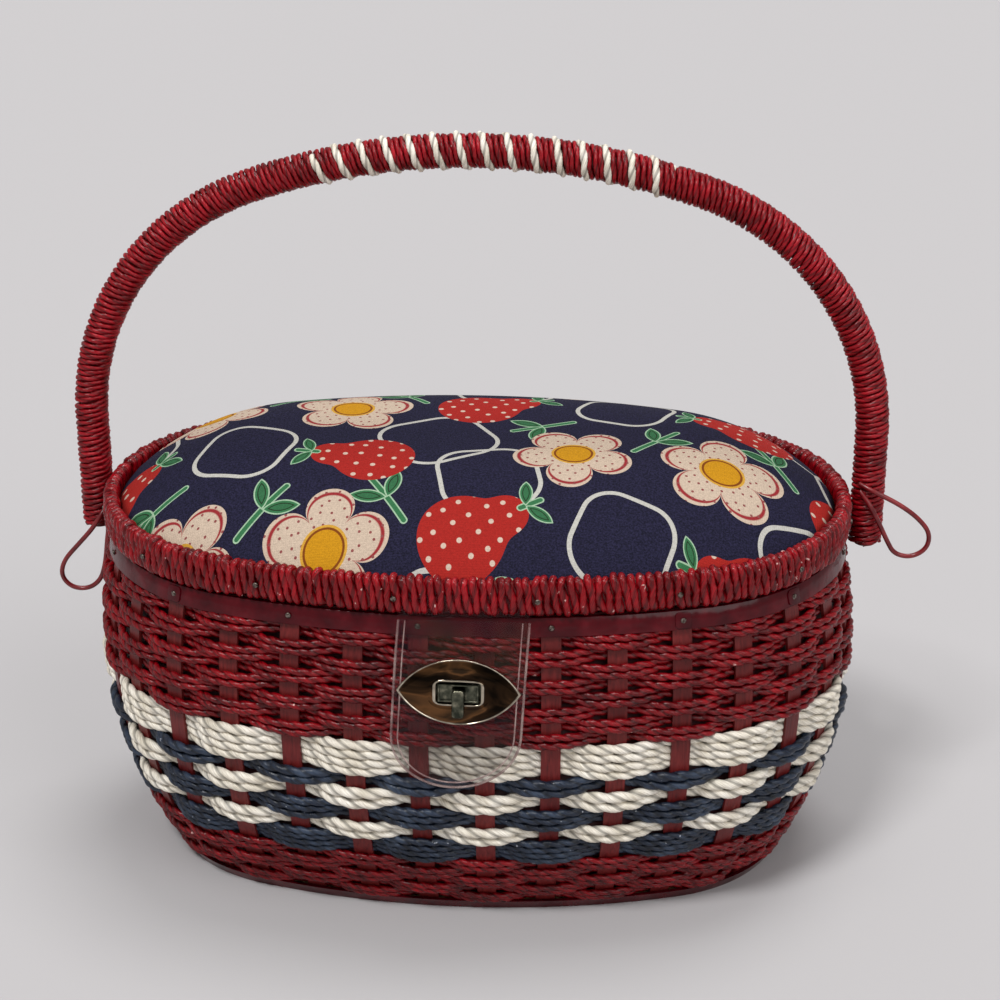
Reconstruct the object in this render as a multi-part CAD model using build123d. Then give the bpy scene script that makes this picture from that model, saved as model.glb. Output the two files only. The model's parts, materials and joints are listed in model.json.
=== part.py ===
from build123d import *
import os
from math import acos, asin, atan2, ceil, cos, degrees, hypot, pi, radians, sin, sqrt

# Oval wicker sewing basket with a padded lid, a wound bail handle and a turn lock.
# The origin is on the floor under the basket's middle, +Z up, the lock faces -Y, lengths in mm.

# Outline of the lid, a four-arc oval that every other piece is set in from
lid_half_length = 151.2
lid_half_width = 95.0
end_radius = 85.0

# Wall profile: one arc from the rim through the belly to the foot
rim_height = 139.0
rim_inset = 1.2
belly_outset = 4.7
belly_depth = 45.0
foot_inset = 20.6

# Stakes and weave
stake_count = 32
stake_width = 7.5
stake_thickness = 1.2
first_stake = 9.8
row_thickness = 2.7
weave_clearance = 0.7
row_gap = 0.2
red_row_height = 5.6
foot_row_height = 5.1
red_rows = 8
foot_rows = 5
colour_rows = [
    ("white_row_broad", 14.4),
    ("blue_row_upper", 7.0),
    ("white_row_middle", 8.0),
    ("blue_row_middle", 9.0),
    ("white_row_lower", 7.2),
    ("blue_row_broad", 11.0),
]

# Rim bands, base and linings
band_height = 7.2
base_hoop_height = 4.4
band_thickness = 1.5
inner_hoop_thickness = 2.9
band_clearance = 0.15
edge_clearance = 0.4
board_thickness = 4.0
lining_thickness = 1.0
lining_clearance = 0.2
floor_lining_thickness = 1.4
seat_clearance = 0.1

# Lid
lid_gap = 0.6
wrap_height = 15.6
wrap_width = 6.4
wrap_thickness = 1.9
wrap_corner = 2.6
lid_board_thickness = 3.0
lid_board_height = 4.5
crown_height = 29.0
crown_reach = 72.0
cover_thickness = 0.8
cover_side = 9.0
lid_lining_thickness = 2.0

# Nails
rim_nail_shank = 0.6
rim_nail_head = 1.1
nail_head_height = 0.6
lid_nail_count = 15
first_lid_nail = -24.0
lid_nail_height = 7.0
hole_clearance = 0.05

# Handle
handle_stand = 7.9
handle_core_radius = 4.3
handle_radius = 7.0
handle_end_drop = 11.6
leg_share = 0.2433
shoulder_radius = 104.0
handle_rise = 150.0
white_turns = 15
white_cord_radius = 0.9
white_share = 0.772
white_clearance = 0.1
white_centre = 6.4

# Handle pivots
pivot_depth = 3.5
pivot_back = 13.0
pin_radius = 1.6
pin_head_radius = 3.2
pin_head_height = 1.2
pin_end_clearance = 0.5
washer_radius = 3.0
running_clearance = 0.05
pin_reach = 3.6

# Vinyl cord loops on the handle ends
loop_cord_radius = 1.0

# Rear hinges
hinge_centre = 24.8
hinge_width = 15.0
knuckle_radius = 2.3
hinge_pin_radius = 1.0
knuckle_gap = 0.3
middle_knuckle = 7.4
leaf_stand = 0.9
lower_leaf_height = 6.6
upper_leaf_height = 10.0
hinge_nail_spread = 9.0
hinge_nail_radius = 0.6
hinge_nail_grip = 1.3
lower_leaf_depth = 7.0
upper_leaf_depth = 4.0

# Latch flap and turn lock
latch_centre = 0.6
latch_depth = 27.0
latch_lean = 0.8
flap_lean = 3.5
flap_width = 49.5
flap_length = 68.0
flap_thickness = 1.0
flap_stand = 1.6
flap_hinge_inset = 1.1
flap_hinge_drop = 0.8
flap_bend_depth = 12.0
flap_tab_height = 9.0
eye_length = 46.8
eye_height = 26.0
eye_rim = 0.5
eye_dome = 0.9
slot_length = 16.8
slot_height = 8.8
slot_frame = 0.8
slot_frame_height = 0.5
back_plate_length = 30.0
back_plate_height = 14.0
back_plate_thickness = 0.35
base_plate_length = 30.0
base_plate_height = 16.0
base_plate_thickness = 0.7
backing_length = 14.0
backing_height = 20.0
backing_thickness = 1.2
bar_reach_up = 4.0
bar_reach_down = 7.0
bar_width = 4.6
bar_thickness = 2.0
button_drop = 2.1
shaft_radius = 1.5
button_washer_radius = 3.5
button_washer_thickness = 1.0
button_washer_gap = 0.3
lock_rivet_radius = 0.9
lock_rivet_spread = 11.0
eye_rivet_radius = 0.8
eye_rivet_spread = 22.0
thin_gap = 0.05

# Sizes worked out from the driving ones
end_shift = lid_half_length - end_radius
side_radius = (end_shift**2 + lid_half_width**2 - end_radius**2) / (
    2 * (lid_half_width - end_radius)
)
side_drop = side_radius - lid_half_width
end_angle = degrees(atan2(side_drop, end_shift))
lid_base = rim_height + lid_gap
lid_top = lid_base + wrap_height
row_wave = stake_thickness / 2 + weave_clearance + row_thickness / 2
mid_inset = row_wave + row_thickness / 2
band_outer = -mid_inset + stake_thickness / 2 + band_clearance + band_thickness
hoop_outer = -mid_inset - stake_thickness / 2 - band_clearance
lining_outer = -2 * mid_inset - lining_clearance
lining_inner = lining_outer - lining_thickness
pivot_z = rim_height - pivot_depth
handle_half_span = lid_half_length + handle_stand
leg_height = handle_rise * leg_share


def circle_through(a, b, c):
    """Centre and radius of the circle through three points of a plane."""
    d = 2 * (a[0] * (b[1] - c[1]) + b[0] * (c[1] - a[1]) + c[0] * (a[1] - b[1]))
    squares = [p[0] ** 2 + p[1] ** 2 for p in (a, b, c)]
    x = (squares[0] * (b[1] - c[1]) + squares[1] * (c[1] - a[1]) + squares[2] * (a[1] - b[1])) / d
    y = (squares[0] * (c[0] - b[0]) + squares[1] * (a[0] - c[0]) + squares[2] * (b[0] - a[0])) / d
    return (x, y), hypot(a[0] - x, a[1] - y)


wall_centre, wall_radius = circle_through(
    (-rim_inset, rim_height), (belly_outset, rim_height - belly_depth), (-foot_inset, 0)
)


def wall_out(z, inset=0.0):
    """Outward offset from the lid's outline of the wall arc at a height, set in or out."""
    return wall_centre[0] + sqrt((wall_radius + inset) ** 2 - (z - wall_centre[1]) ** 2)


# The outline's arcs from the front's middle round by the right end: centre, radius, start, sweep
outline_arcs = [
    ((0, side_drop), side_radius, -90, 90 - end_angle),
    ((end_shift, 0), end_radius, -end_angle, 2 * end_angle),
    ((0, -side_drop), side_radius, end_angle, 180 - 2 * end_angle),
    ((-end_shift, 0), end_radius, 180 - end_angle, 2 * end_angle),
    ((0, side_drop), side_radius, 180 + end_angle, 90 - end_angle),
]
outline_length = sum(radius * radians(sweep) for _, radius, _, sweep in outline_arcs)


def place_on_outline(distance):
    """Frame on the outline at a distance from the front's middle, its X axis facing outwards."""
    distance %= outline_length
    for centre, radius, start, sweep in outline_arcs:
        if distance <= radius * radians(sweep):
            break
        distance -= radius * radians(sweep)
    angle = start + degrees(distance / radius)
    return Pos(centre[0], centre[1], 0) * Rot(0, 0, angle) * Pos(radius, 0, 0)


def outline_point(distance, out, z):
    """Point at a distance round the outline, an offset outwards and a height."""
    return (place_on_outline(distance) * Pos(out, 0, z)).position


def carry_round(section):
    """Solid ring that carries a section, x outwards from the outline and z up, round the oval."""
    end = revolve(
        Rot(0, 0, -end_angle) * Pos(end_radius, 0, 0) * section, Axis.Z, 2 * end_angle
    )
    side = revolve(
        Rot(0, 0, end_angle) * Pos(side_radius, 0, 0) * section, Axis.Z, 180 - 2 * end_angle
    )
    half = Pos(end_shift, 0, 0) * end + Pos(0, -side_drop, 0) * side
    return half + Rot(0, 0, 180) * half


def oval_plate(out, bottom, height):
    """Flat plate whose edge is the outline set out by an offset."""
    side = side_radius + out
    end = end_radius + out
    edges = [
        CenterArc((end_shift, 0), end, -end_angle, 2 * end_angle),
        CenterArc((0, -side_drop), side, end_angle, 180 - 2 * end_angle),
        CenterArc((-end_shift, 0), end, 180 - end_angle, 2 * end_angle),
        CenterArc((0, side_drop), side, 180 + end_angle, 180 - 2 * end_angle),
    ]
    return Pos(0, 0, bottom) * extrude(make_face(Curve() + edges), height)


def box_section(left, right, bottom, top):
    """Rectangular section between two offsets and two heights."""
    return make_face(
        Polyline((left, 0, bottom), (right, 0, bottom), (right, 0, top), (left, 0, top), close=True)
    )


def wall_section(outer, thickness, bottom, top):
    """Section of a layer of the wall, between two concentric arcs and two heights."""
    middle = (bottom + top) / 2
    outer_arc, inner_arc = [
        [(wall_out(z, inset), 0, z) for z in (bottom, middle, top)]
        for inset in (outer, outer - thickness)
    ]
    return make_face(
        Curve()
        + [
            ThreePointArc(*outer_arc),
            Line(outer_arc[2], inner_arc[2]),
            ThreePointArc(*inner_arc),
            Line(inner_arc[0], outer_arc[0]),
        ]
    )


def drilled(solid, holes):
    """Solid with the holes cut from it, each solid of a group on its own."""
    cut = solid
    for hole in holes:
        cut = cut - hole
    return cut


def outward_rod(radius, start, end, z=0.0):
    """Round rod along the frame's X axis from one offset to another."""
    return Pos((start + end) / 2, 0, z) * Rot(0, 90, 0) * Cylinder(radius, end - start)


# Nails

def nail(shank, head, inner, outer):
    """Round-headed nail along X whose head rests at the outer offset."""
    rod = outward_rod(shank, inner, outer + nail_head_height / 2)
    cap = outward_rod(head, outer, outer + nail_head_height)
    return rod + fillet(cap.faces().sort_by(Axis.X)[-1].edges(), nail_head_height * 0.7)


nail_z = rim_height - edge_clearance - band_height / 2
stake_spots = [first_stake + outline_length * k / stake_count for k in range(stake_count)]
rim_nail_spots = [
    s
    for s in stake_spots[1::2]
    if abs(outline_point(s, 0, 0).Y - pivot_back) > pin_head_radius + rim_nail_head + 1
]
rim_nail_outer = wall_out(nail_z - rim_nail_head, band_outer) + seat_clearance
rim_nail_inner = wall_out(nail_z, hoop_outer) - inner_hoop_thickness * 0.7
rim_nails = [
    place_on_outline(s)
    * Pos(0, 0, nail_z)
    * nail(rim_nail_shank, rim_nail_head, rim_nail_inner, rim_nail_outer)
    for s in rim_nail_spots
]
rim_nail_holes = [
    place_on_outline(s)
    * outward_rod(rim_nail_shank + hole_clearance, rim_nail_inner - 1, rim_nail_outer + 1, nail_z)
    for s in rim_nail_spots
]
lid_nail_spots = [
    first_lid_nail + outline_length * k / lid_nail_count for k in range(lid_nail_count)
]
lid_nail_z = lid_base + lid_nail_height
lid_nail_inner = -wrap_thickness - 2.5
lid_nails = [
    place_on_outline(s)
    * Pos(0, 0, lid_nail_z)
    * nail(rim_nail_shank, rim_nail_head, lid_nail_inner, seat_clearance)
    for s in lid_nail_spots
]
lid_nail_holes = [
    place_on_outline(s)
    * outward_rod(rim_nail_shank + hole_clearance, lid_nail_inner - 0.5, 1, lid_nail_z)
    for s in lid_nail_spots
]

# Holes for the handle pins, along X through the rim at both ends


def end_face(y, out):
    """X of the outline set out by an offset, on the end arc at a y."""
    return end_shift + sqrt((end_radius + out) ** 2 - y**2)


lining_face = end_face(
    pivot_back + pin_head_radius, wall_out(pivot_z + pin_head_radius, lining_inner)
)
pin_inner = lining_face - pin_end_clearance
handle_inner_face = handle_half_span - handle_radius
pin_outer = handle_half_span + pin_reach
pin_bore_radius = pin_radius + running_clearance


def both_ends(solid):
    """A piece and its mirror image at the other end."""
    return [solid, mirror(solid, Plane.YZ)]


def pivot_rod(radius, start, end):
    """Round rod on the handle's axis between two places along X."""
    return Pos(0, pivot_back, 0) * outward_rod(radius, start, end, pivot_z)


pin_bores = both_ends(pivot_rod(pin_bore_radius, pin_inner - 5, pin_outer + 0.5))

# Turn lock frame: X along the front, Y up the wall, Z out of it, at the weave's outer face
latch_z = rim_height - latch_depth
latch_tilt = degrees(asin((latch_z - wall_centre[1]) / wall_radius))
latch_place = (
    Pos(latch_centre, -lid_half_width - wall_out(latch_z), latch_z)
    * Rot(90 - latch_tilt, 0, 0)
    * Rot(0, 0, -latch_lean)
)
front_axis = Pos(0, -lid_half_width - wall_centre[0], wall_centre[1])


def lock_rod(radius, x, y, bottom, top):
    """Round rod along the lock's outward axis."""
    return latch_place * Pos(x, y, (bottom + top) / 2) * Cylinder(radius, top - bottom)


backing_top = lining_inner - lining_thickness * 0.5
backing_bottom = backing_top - backing_thickness
rivet_places = [(0, side * lock_rivet_spread / 2) for side in (-1, 1)]
lock_holes = [
    lock_rod(lock_rivet_radius + hole_clearance, x, y, backing_bottom - 1, 1)
    for x, y in rivet_places
]
lock_holes.append(
    lock_rod(shaft_radius + running_clearance, 0, -button_drop, backing_bottom - 1, 2)
)

# Hinge placing: the pin runs along X behind the lid at the rim's level
hinge_y = lid_half_width - (hinge_centre - hinge_width / 2) ** 2 / (2 * side_radius)
hinge_y += knuckle_radius + knuckle_gap
hinge_nail_z = rim_height - edge_clearance - lower_leaf_height * 0.6
upper_nail_z = lid_base + upper_leaf_height * 0.65


def along_x(radius, length, x=0.0, y=0.0, z=0.0):
    """Round rod along X about a middle point."""
    return Pos(x, y, z) * Rot(0, 90, 0) * Cylinder(radius, length)


def along_y(radius, start, end, x, z):
    """Round rod along Y between two places."""
    return Pos(x, (start + end) / 2, z) * Rot(90, 0, 0) * Cylinder(radius, end - start)


leaf_outer = hinge_y - knuckle_radius + leaf_stand


def back_face(x, out):
    """Y of the outline set out by an offset, on the back side arc at an x."""
    return sqrt((side_radius + out) ** 2 - x**2) - side_drop


hinge_nails = []
hinge_nail_holes = []
for centre in (-hinge_centre, hinge_centre):
    for x in (centre - hinge_nail_spread / 2, centre + hinge_nail_spread / 2):
        for z, out in (
            (hinge_nail_z, wall_out(hinge_nail_z, band_outer)),
            (upper_nail_z, 0.0),
        ):
            tip = back_face(x, out) - hinge_nail_grip
            shank = along_y(hinge_nail_radius, tip, leaf_outer + nail_head_height / 2, x, z)
            cap = along_y(rim_nail_head, leaf_outer, leaf_outer + nail_head_height, x, z)
            hinge_nails.append(shank + cap)
            hinge_nail_holes.append(
                along_y(hinge_nail_radius + hole_clearance, tip - thin_gap, leaf_outer + 1, x, z)
            )


# Basket: base, hoops, stakes, linings

base_board = oval_plate(
    wall_out(0, -mid_inset) - stake_thickness / 2 - lining_clearance, 0, board_thickness
)
base_hoop = carry_round(wall_section(band_outer, band_thickness, 0, base_hoop_height))

band_top = rim_height - edge_clearance
band_bottom = band_top - band_height
outer_band = carry_round(wall_section(band_outer, band_thickness, band_bottom, band_top))
outer_band = drilled(outer_band, rim_nail_holes + pin_bores + hinge_nail_holes)
inner_hoop = carry_round(wall_section(hoop_outer, inner_hoop_thickness, band_bottom, band_top))
inner_hoop = drilled(inner_hoop, rim_nail_holes + pin_bores)

stake_outer = -mid_inset + stake_thickness / 2
stake_shape = extrude(
    wall_section(stake_outer, stake_thickness, edge_clearance, band_top),
    stake_width / 2,
    dir=(0, 1, 0),
    both=True,
)
nailed_stake = stake_shape - outward_rod(
    rim_nail_shank + hole_clearance, rim_nail_inner - 1, rim_nail_outer + 1, nail_z
)
stakes = [
    place_on_outline(s) * (nailed_stake if s in rim_nail_spots else stake_shape)
    for s in stake_spots
]
stakes = [drilled(stake, pin_bores) for stake in stakes]

wall_lining = carry_round(
    wall_section(lining_outer, lining_thickness, board_thickness + seat_clearance, band_top)
)
wall_lining = drilled(wall_lining, pin_bores + lock_holes)
floor_lining = oval_plate(
    wall_out(board_thickness, lining_inner) - lining_clearance,
    board_thickness + seat_clearance,
    floor_lining_thickness,
)


# Weave rows

def wavy_outline(z, shift, first_over):
    """Closed curve in front of every second stake and behind the others."""
    step = outline_length / stake_count
    arcs = []
    for k, s in enumerate(stake_spots):
        over = 1 if (k % 2 == 0) == first_over else -1
        crest = wall_out(z, -mid_inset + over * row_wave + shift)
        level = wall_out(z, -mid_inset + shift)
        arcs.append(
            ThreePointArc(
                outline_point(s - step / 2, level, z),
                outline_point(s, crest, z),
                outline_point(s + step / 2, level, z),
            )
        )
    return Wire(arcs)


def weave_row(top, height, first_over):
    """One row of cords laid side by side, as the band that they fill."""
    heights = (top - height + row_gap / 2, top - row_gap / 2)
    outer, inner = [
        Solid.make_loft([wavy_outline(z, shift, first_over) for z in heights], True)
        for shift in (row_thickness / 2, -row_thickness / 2)
    ]
    return outer - inner


rows = {}
row_list = [(f"red_row_{n + 1}", red_row_height) for n in range(red_rows)]
row_list += colour_rows
row_list += [(f"red_row_{red_rows + n + 1}", foot_row_height) for n in range(foot_rows)]
row_top = band_bottom - seat_clearance
row_scale = (row_top - base_hoop_height) / sum(height for _, height in row_list)
row_list = [(name, height * row_scale) for name, height in row_list]
for number, (name, height) in enumerate(row_list):
    row = weave_row(row_top, height, number % 2 == 0)
    reach = lock_rivet_spread / 2 + lock_rivet_radius + 1
    if abs(row_top - height / 2 - latch_z) < reach + height / 2:
        row = drilled(row, lock_holes)
    rows[name] = row
    row_top -= height


# Lid: hoop, wound rim, board, padding, cover, lining

wrap_outer = fillet(
    box_section(-wrap_width, 0, lid_base, lid_top).vertices(), wrap_corner
)
hoop_left = -wrap_width + wrap_thickness
hoop_right = -wrap_thickness
hoop_bottom = lid_base + wrap_thickness
hoop_top = lid_top - wrap_thickness
tab_outer = -wrap_thickness + flap_thickness
tab_top = lid_base + flap_tab_height
cavity = box_section(
    hoop_left - thin_gap, hoop_right + thin_gap, hoop_bottom - thin_gap, hoop_top + thin_gap
)
lid_wrap = carry_round(wrap_outer - cavity)
lid_wrap = drilled(lid_wrap, lid_nail_holes + hinge_nail_holes)
lid_hoop = carry_round(box_section(hoop_left, hoop_right, hoop_bottom, hoop_top))
lid_hoop = drilled(lid_hoop, lid_nail_holes)

flap_left = latch_centre + latch_depth * sin(radians(flap_lean))


def front_box(width, bottom, top):
    """Box round the flap's place at the front, between two heights."""
    return Pos(flap_left, -lid_half_width, (bottom + top) / 2) * Box(width, 20, top - bottom)


tab_ring = carry_round(
    box_section(tab_outer - flap_thickness + thin_gap, tab_outer, lid_base - 0.1, tab_top)
)
flap_tab = tab_ring & front_box(flap_width, lid_base - 1, tab_top + 1)
tab_space = carry_round(
    box_section(hoop_right, tab_outer + thin_gap, lid_base - 1, tab_top + thin_gap)
) & front_box(flap_width + 0.4, lid_base - 2, tab_top + 1)
lid_wrap = lid_wrap - tab_space

board_out = -wrap_width - seat_clearance
board_bottom = lid_base + lid_board_height
board_top = board_bottom + lid_board_thickness
lid_board = oval_plate(board_out - cover_thickness - seat_clearance, board_bottom, lid_board_thickness)
lid_lining = oval_plate(
    board_out - seat_clearance, board_bottom - seat_clearance - lid_lining_thickness,
    lid_lining_thickness,
)


def crown_section(out, bottom, side_top, rise):
    """Section of a pad: an upright side, then an arc that is level at the crown's reach."""
    run = crown_reach + out
    arc_radius = (run**2 + rise**2) / (2 * rise)
    half = asin(run / arc_radius) / 2
    centre_z = side_top + rise - arc_radius
    knee = (-crown_reach + arc_radius * sin(half), 0, centre_z + arc_radius * cos(half))
    top = side_top + rise
    return make_face(
        Curve()
        + [
            Line((-crown_reach, 0, bottom), (out, 0, bottom)),
            Line((out, 0, bottom), (out, 0, side_top)),
            ThreePointArc((out, 0, side_top), knee, (-crown_reach, 0, top)),
            Line((-crown_reach, 0, top), (-crown_reach, 0, bottom)),
        ]
    )


def pad(out, bottom, side_top, rise):
    """Crowned pad over the oval, flat over its middle."""
    rim = carry_round(crown_section(out, bottom, side_top, rise))
    return rim + oval_plate(-crown_reach, bottom, side_top + rise - bottom)


pad_out = board_out - cover_thickness - seat_clearance
pad_side = lid_base + cover_side
cover_top = pad_side + crown_height
pad_bottom = board_top + seat_clearance
lid_padding = pad(pad_out, pad_bottom, pad_side, crown_height)
lid_cover = pad(board_out, board_bottom, pad_side + cover_thickness, crown_height) - pad(
    pad_out + thin_gap, board_bottom - 1, pad_side + thin_gap, crown_height
)


# Rear hinges

def knuckles(centre, parts):
    """Barrel pieces of one hinge, drilled for the pin, from their middles and lengths."""
    barrels = []
    for offset, length in parts:
        barrel = along_x(knuckle_radius, length, centre + offset, hinge_y, rim_height)
        bore = along_x(
            hinge_pin_radius + running_clearance, length + 1, centre + offset, hinge_y, rim_height
        )
        barrels.append(barrel - bore)
    return barrels


outer_length = (hinge_width - middle_knuckle) / 2 - knuckle_gap
outer_offset = (hinge_width - outer_length) / 2
outer_parts = [(-outer_offset, outer_length), (outer_offset, outer_length)]
middle_parts = [(0, middle_knuckle)]
relief_radius = knuckle_radius + knuckle_gap
wrap_solid = carry_round(
    fillet(
        box_section(-wrap_width, thin_gap, lid_base - thin_gap, lid_top + thin_gap).vertices(),
        wrap_corner,
    )
)
band_solid = carry_round(
    wall_section(band_outer + thin_gap, wrap_width, band_bottom - 2, band_top + edge_clearance)
)
lower_leaves = []
upper_leaves = []
hinge_pins = []
for centre in (-hinge_centre, hinge_centre):
    lower = Pos(
        centre, leaf_outer - lower_leaf_depth / 2, band_top - lower_leaf_height / 2
    ) * Box(hinge_width, lower_leaf_depth, lower_leaf_height)
    upper = Pos(
        centre, leaf_outer - upper_leaf_depth / 2, lid_base + knuckle_gap + upper_leaf_height / 2
    ) * Box(hinge_width, upper_leaf_depth, upper_leaf_height)
    lower = lower - band_solid
    upper = upper - wrap_solid
    bore = along_x(
        hinge_pin_radius + running_clearance, hinge_width + 2, centre, hinge_y, rim_height
    )
    lower = lower - along_x(
        relief_radius, middle_knuckle + 2 * knuckle_gap, centre, hinge_y, rim_height
    )
    for offset, length in outer_parts:
        upper = upper - along_x(
            relief_radius, length + 2 * knuckle_gap, centre + offset, hinge_y, rim_height
        )
    for barrel in knuckles(centre, outer_parts):
        lower = lower + barrel
    for barrel in knuckles(centre, middle_parts):
        upper = upper + barrel
    lower_leaves.append(drilled(lower - bore, hinge_nail_holes))
    upper_leaves.append(drilled(upper - bore, hinge_nail_holes))
    hinge_pins.append(along_x(hinge_pin_radius, hinge_width, centre, hinge_y, rim_height))


# Latch flap: clear vinyl that hangs from the lid's rim and lies along the wall's front

flap_hinge_y = -lid_half_width + flap_hinge_inset
flap_hinge_z = rim_height - flap_hinge_drop


def flap_side(stand):
    """Points of one face of the flap's profile: top, bend, middle and foot."""
    depths = (flap_bend_depth, (flap_bend_depth + flap_length) / 2, flap_length)
    return [
        (0, -lid_half_width - wall_out(rim_height - depth, stand), rim_height - depth)
        for depth in depths
    ]


def flap_profile():
    """Closed profile of the flap in the plane across the basket."""
    inner = flap_side(flap_stand)
    outer = flap_side(flap_stand + flap_thickness)
    half = flap_thickness / 2
    inner_top = (0, flap_hinge_y + half, flap_hinge_z)
    outer_top = (0, flap_hinge_y - half, flap_hinge_z)
    crest = (0, flap_hinge_y, flap_hinge_z + half)
    return make_face(
        Curve()
        + [
            ThreePointArc(*outer),
            Line(outer[2], inner[2]),
            ThreePointArc(*inner),
            Line(inner[0], inner_top),
            ThreePointArc(inner_top, crest, outer_top),
            Line(outer_top, outer[0]),
        ]
    )


lean_shift = flap_length * sin(radians(flap_lean))
tip_round = flap_width / 2
flap_outline = make_face(
    Curve()
    + [
        Line(
            (flap_left - tip_round, 0, rim_height + 1),
            (flap_left - tip_round - lean_shift * 0.66, 0, rim_height - flap_length * 0.66),
        ),
        ThreePointArc(
            (flap_left - tip_round - lean_shift * 0.66, 0, rim_height - flap_length * 0.66),
            (flap_left - lean_shift, 0, rim_height - flap_length),
            (flap_left + tip_round - lean_shift * 0.66, 0, rim_height - flap_length * 0.66),
        ),
        Line(
            (flap_left + tip_round - lean_shift * 0.66, 0, rim_height - flap_length * 0.66),
            (flap_left + tip_round, 0, rim_height + 1),
        ),
        Line(
            (flap_left + tip_round, 0, rim_height + 1), (flap_left - tip_round, 0, rim_height + 1)
        ),
    ]
)
slot_tool = latch_place * Pos(0, 0, flap_stand) * extrude(
    RectangleRounded(slot_length, slot_height, 1.0), 12, both=True
)
eye_rivet_places = [(side * eye_rivet_spread / 2, 0) for side in (-1, 1)]
eye_rivet_holes = [
    lock_rod(eye_rivet_radius + thin_gap, x, y, 0, flap_stand + flap_thickness + 0.4)
    for x, y in eye_rivet_places
]
flap_strip = extrude(flap_profile(), flap_width, dir=(1, 0, 0), both=True)
flap_prism = extrude(flap_outline, 2 * lid_half_width, dir=(0, -1, 0))
latch_flap = drilled(flap_strip & flap_prism, [slot_tool] + eye_rivet_holes)


# Eye plate: a pointed oval of polished metal, domed, with a raised frame round its slot

def pointed_oval(length, height, z):
    """Outline of two arcs that meet in points at the ends."""
    return Wire(
        [
            ThreePointArc((-length / 2, 0, z), (0, height / 2, z), (length / 2, 0, z)),
            ThreePointArc((length / 2, 0, z), (0, -height / 2, z), (-length / 2, 0, z)),
        ]
    )


eye_bottom = flap_stand + flap_thickness - 0.6
eye_edge = flap_stand + flap_thickness + eye_rim - 0.1
eye_top = eye_edge + eye_dome
dome_steps = [(1.0, 0.0), (0.86, 0.5), (0.66, 0.86), (0.4, 1.0)]
eye_levels = [pointed_oval(eye_length, eye_height, eye_bottom)]
eye_levels += [
    pointed_oval(eye_length * size, eye_height * size, eye_edge + eye_dome * rise)
    for size, rise in dome_steps
]
eye_solid = Solid.make_loft(eye_levels, True)
frame_block = Pos(0, 0, eye_edge) * extrude(
    RectangleRounded(slot_length + 2 * slot_frame, slot_height + 2 * slot_frame, 1.6),
    eye_dome + slot_frame_height,
)
flap_body = front_axis * Rot(0, 90, 0) * Cylinder(
    wall_radius + flap_stand + flap_thickness + thin_gap, 2 * lid_half_width
)
eye_plate = latch_place * (eye_solid + frame_block) - slot_tool - flap_body
eye_back_plate = latch_place * Pos(
    0, 0, flap_stand - thin_gap - 2 * back_plate_thickness
) * extrude(RectangleRounded(back_plate_length, back_plate_height, 2.0), back_plate_thickness)
eye_back_plate = drilled(eye_back_plate, [slot_tool] + eye_rivet_holes)
eye_rivet_bottom = flap_stand - thin_gap - 2 * back_plate_thickness
eye_rivets = [
    lock_rod(eye_rivet_radius, x, y, eye_rivet_bottom, flap_stand + flap_thickness)
    for x, y in eye_rivet_places
]


# Turn button, its base plate on the weave, and the backing inside the basket

lock_base_plate = latch_place * Pos(0, 0, thin_gap) * extrude(
    RectangleRounded(base_plate_length, base_plate_height, 3.0), base_plate_thickness
)
lock_base_plate = drilled(lock_base_plate, lock_holes)
lock_backing_plate = latch_place * Pos(0, 0, backing_bottom) * extrude(
    RectangleRounded(backing_length, backing_height, 2.0), backing_thickness
)
lock_backing_plate = drilled(lock_backing_plate, lock_holes)
lock_rivets = [
    lock_rod(lock_rivet_radius, x, y, backing_bottom, thin_gap + base_plate_thickness)
    for x, y in rivet_places
]
bar_bottom = eye_top + slot_frame_height + 0.4
shaft_bottom = backing_bottom - 2.2
bar_middle = (bar_reach_up - bar_reach_down) / 2 - button_drop
bar = extrude(RectangleRounded(bar_width, bar_reach_up + bar_reach_down, 1.2), bar_thickness)
bar = fillet(bar.faces().sort_by(Axis.Z)[-1].edges(), 0.8)
turn_button = latch_place * Pos(0, bar_middle, bar_bottom) * bar + lock_rod(
    shaft_radius, 0, -button_drop, shaft_bottom, bar_bottom + bar_thickness / 2
)
washer_top = backing_bottom - button_washer_gap
button_washer = lock_rod(
    button_washer_radius, 0, -button_drop, washer_top - button_washer_thickness, washer_top
) - lock_rod(
    shaft_radius + thin_gap / 2, 0, -button_drop, shaft_bottom - 1, backing_bottom
)


# Handle: a bent core, wound with red cord, and a white cord wound over the crown

crown_run = handle_half_span - shoulder_radius
crown_drop = handle_rise - leg_height
handle_crown_radius = (crown_run**2 + crown_drop**2 - shoulder_radius**2) / (
    2 * (crown_drop - shoulder_radius)
)
crown_centre_z = rim_height + handle_rise - handle_crown_radius
crown_angle = atan2(crown_run, rim_height + leg_height - crown_centre_z)
white_pitch = 2 * handle_crown_radius * crown_angle * white_share / white_turns


def crown_point(angle, radius=handle_crown_radius):
    """Point of the handle's crown arc at an angle from its top, positive towards +X."""
    return (radius * sin(angle), 0, crown_centre_z + radius * cos(angle))


shoulder_middle_angle = (crown_angle + pi / 2) / 2
leg_top = rim_height + leg_height
handle_end_z = rim_height - handle_end_drop


def shoulder_point(angle, side):
    """Point of a shoulder arc at an angle from upright, on one side."""
    return (
        side * (crown_run + shoulder_radius * sin(angle)),
        0,
        leg_top + shoulder_radius * cos(angle),
    )


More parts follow.
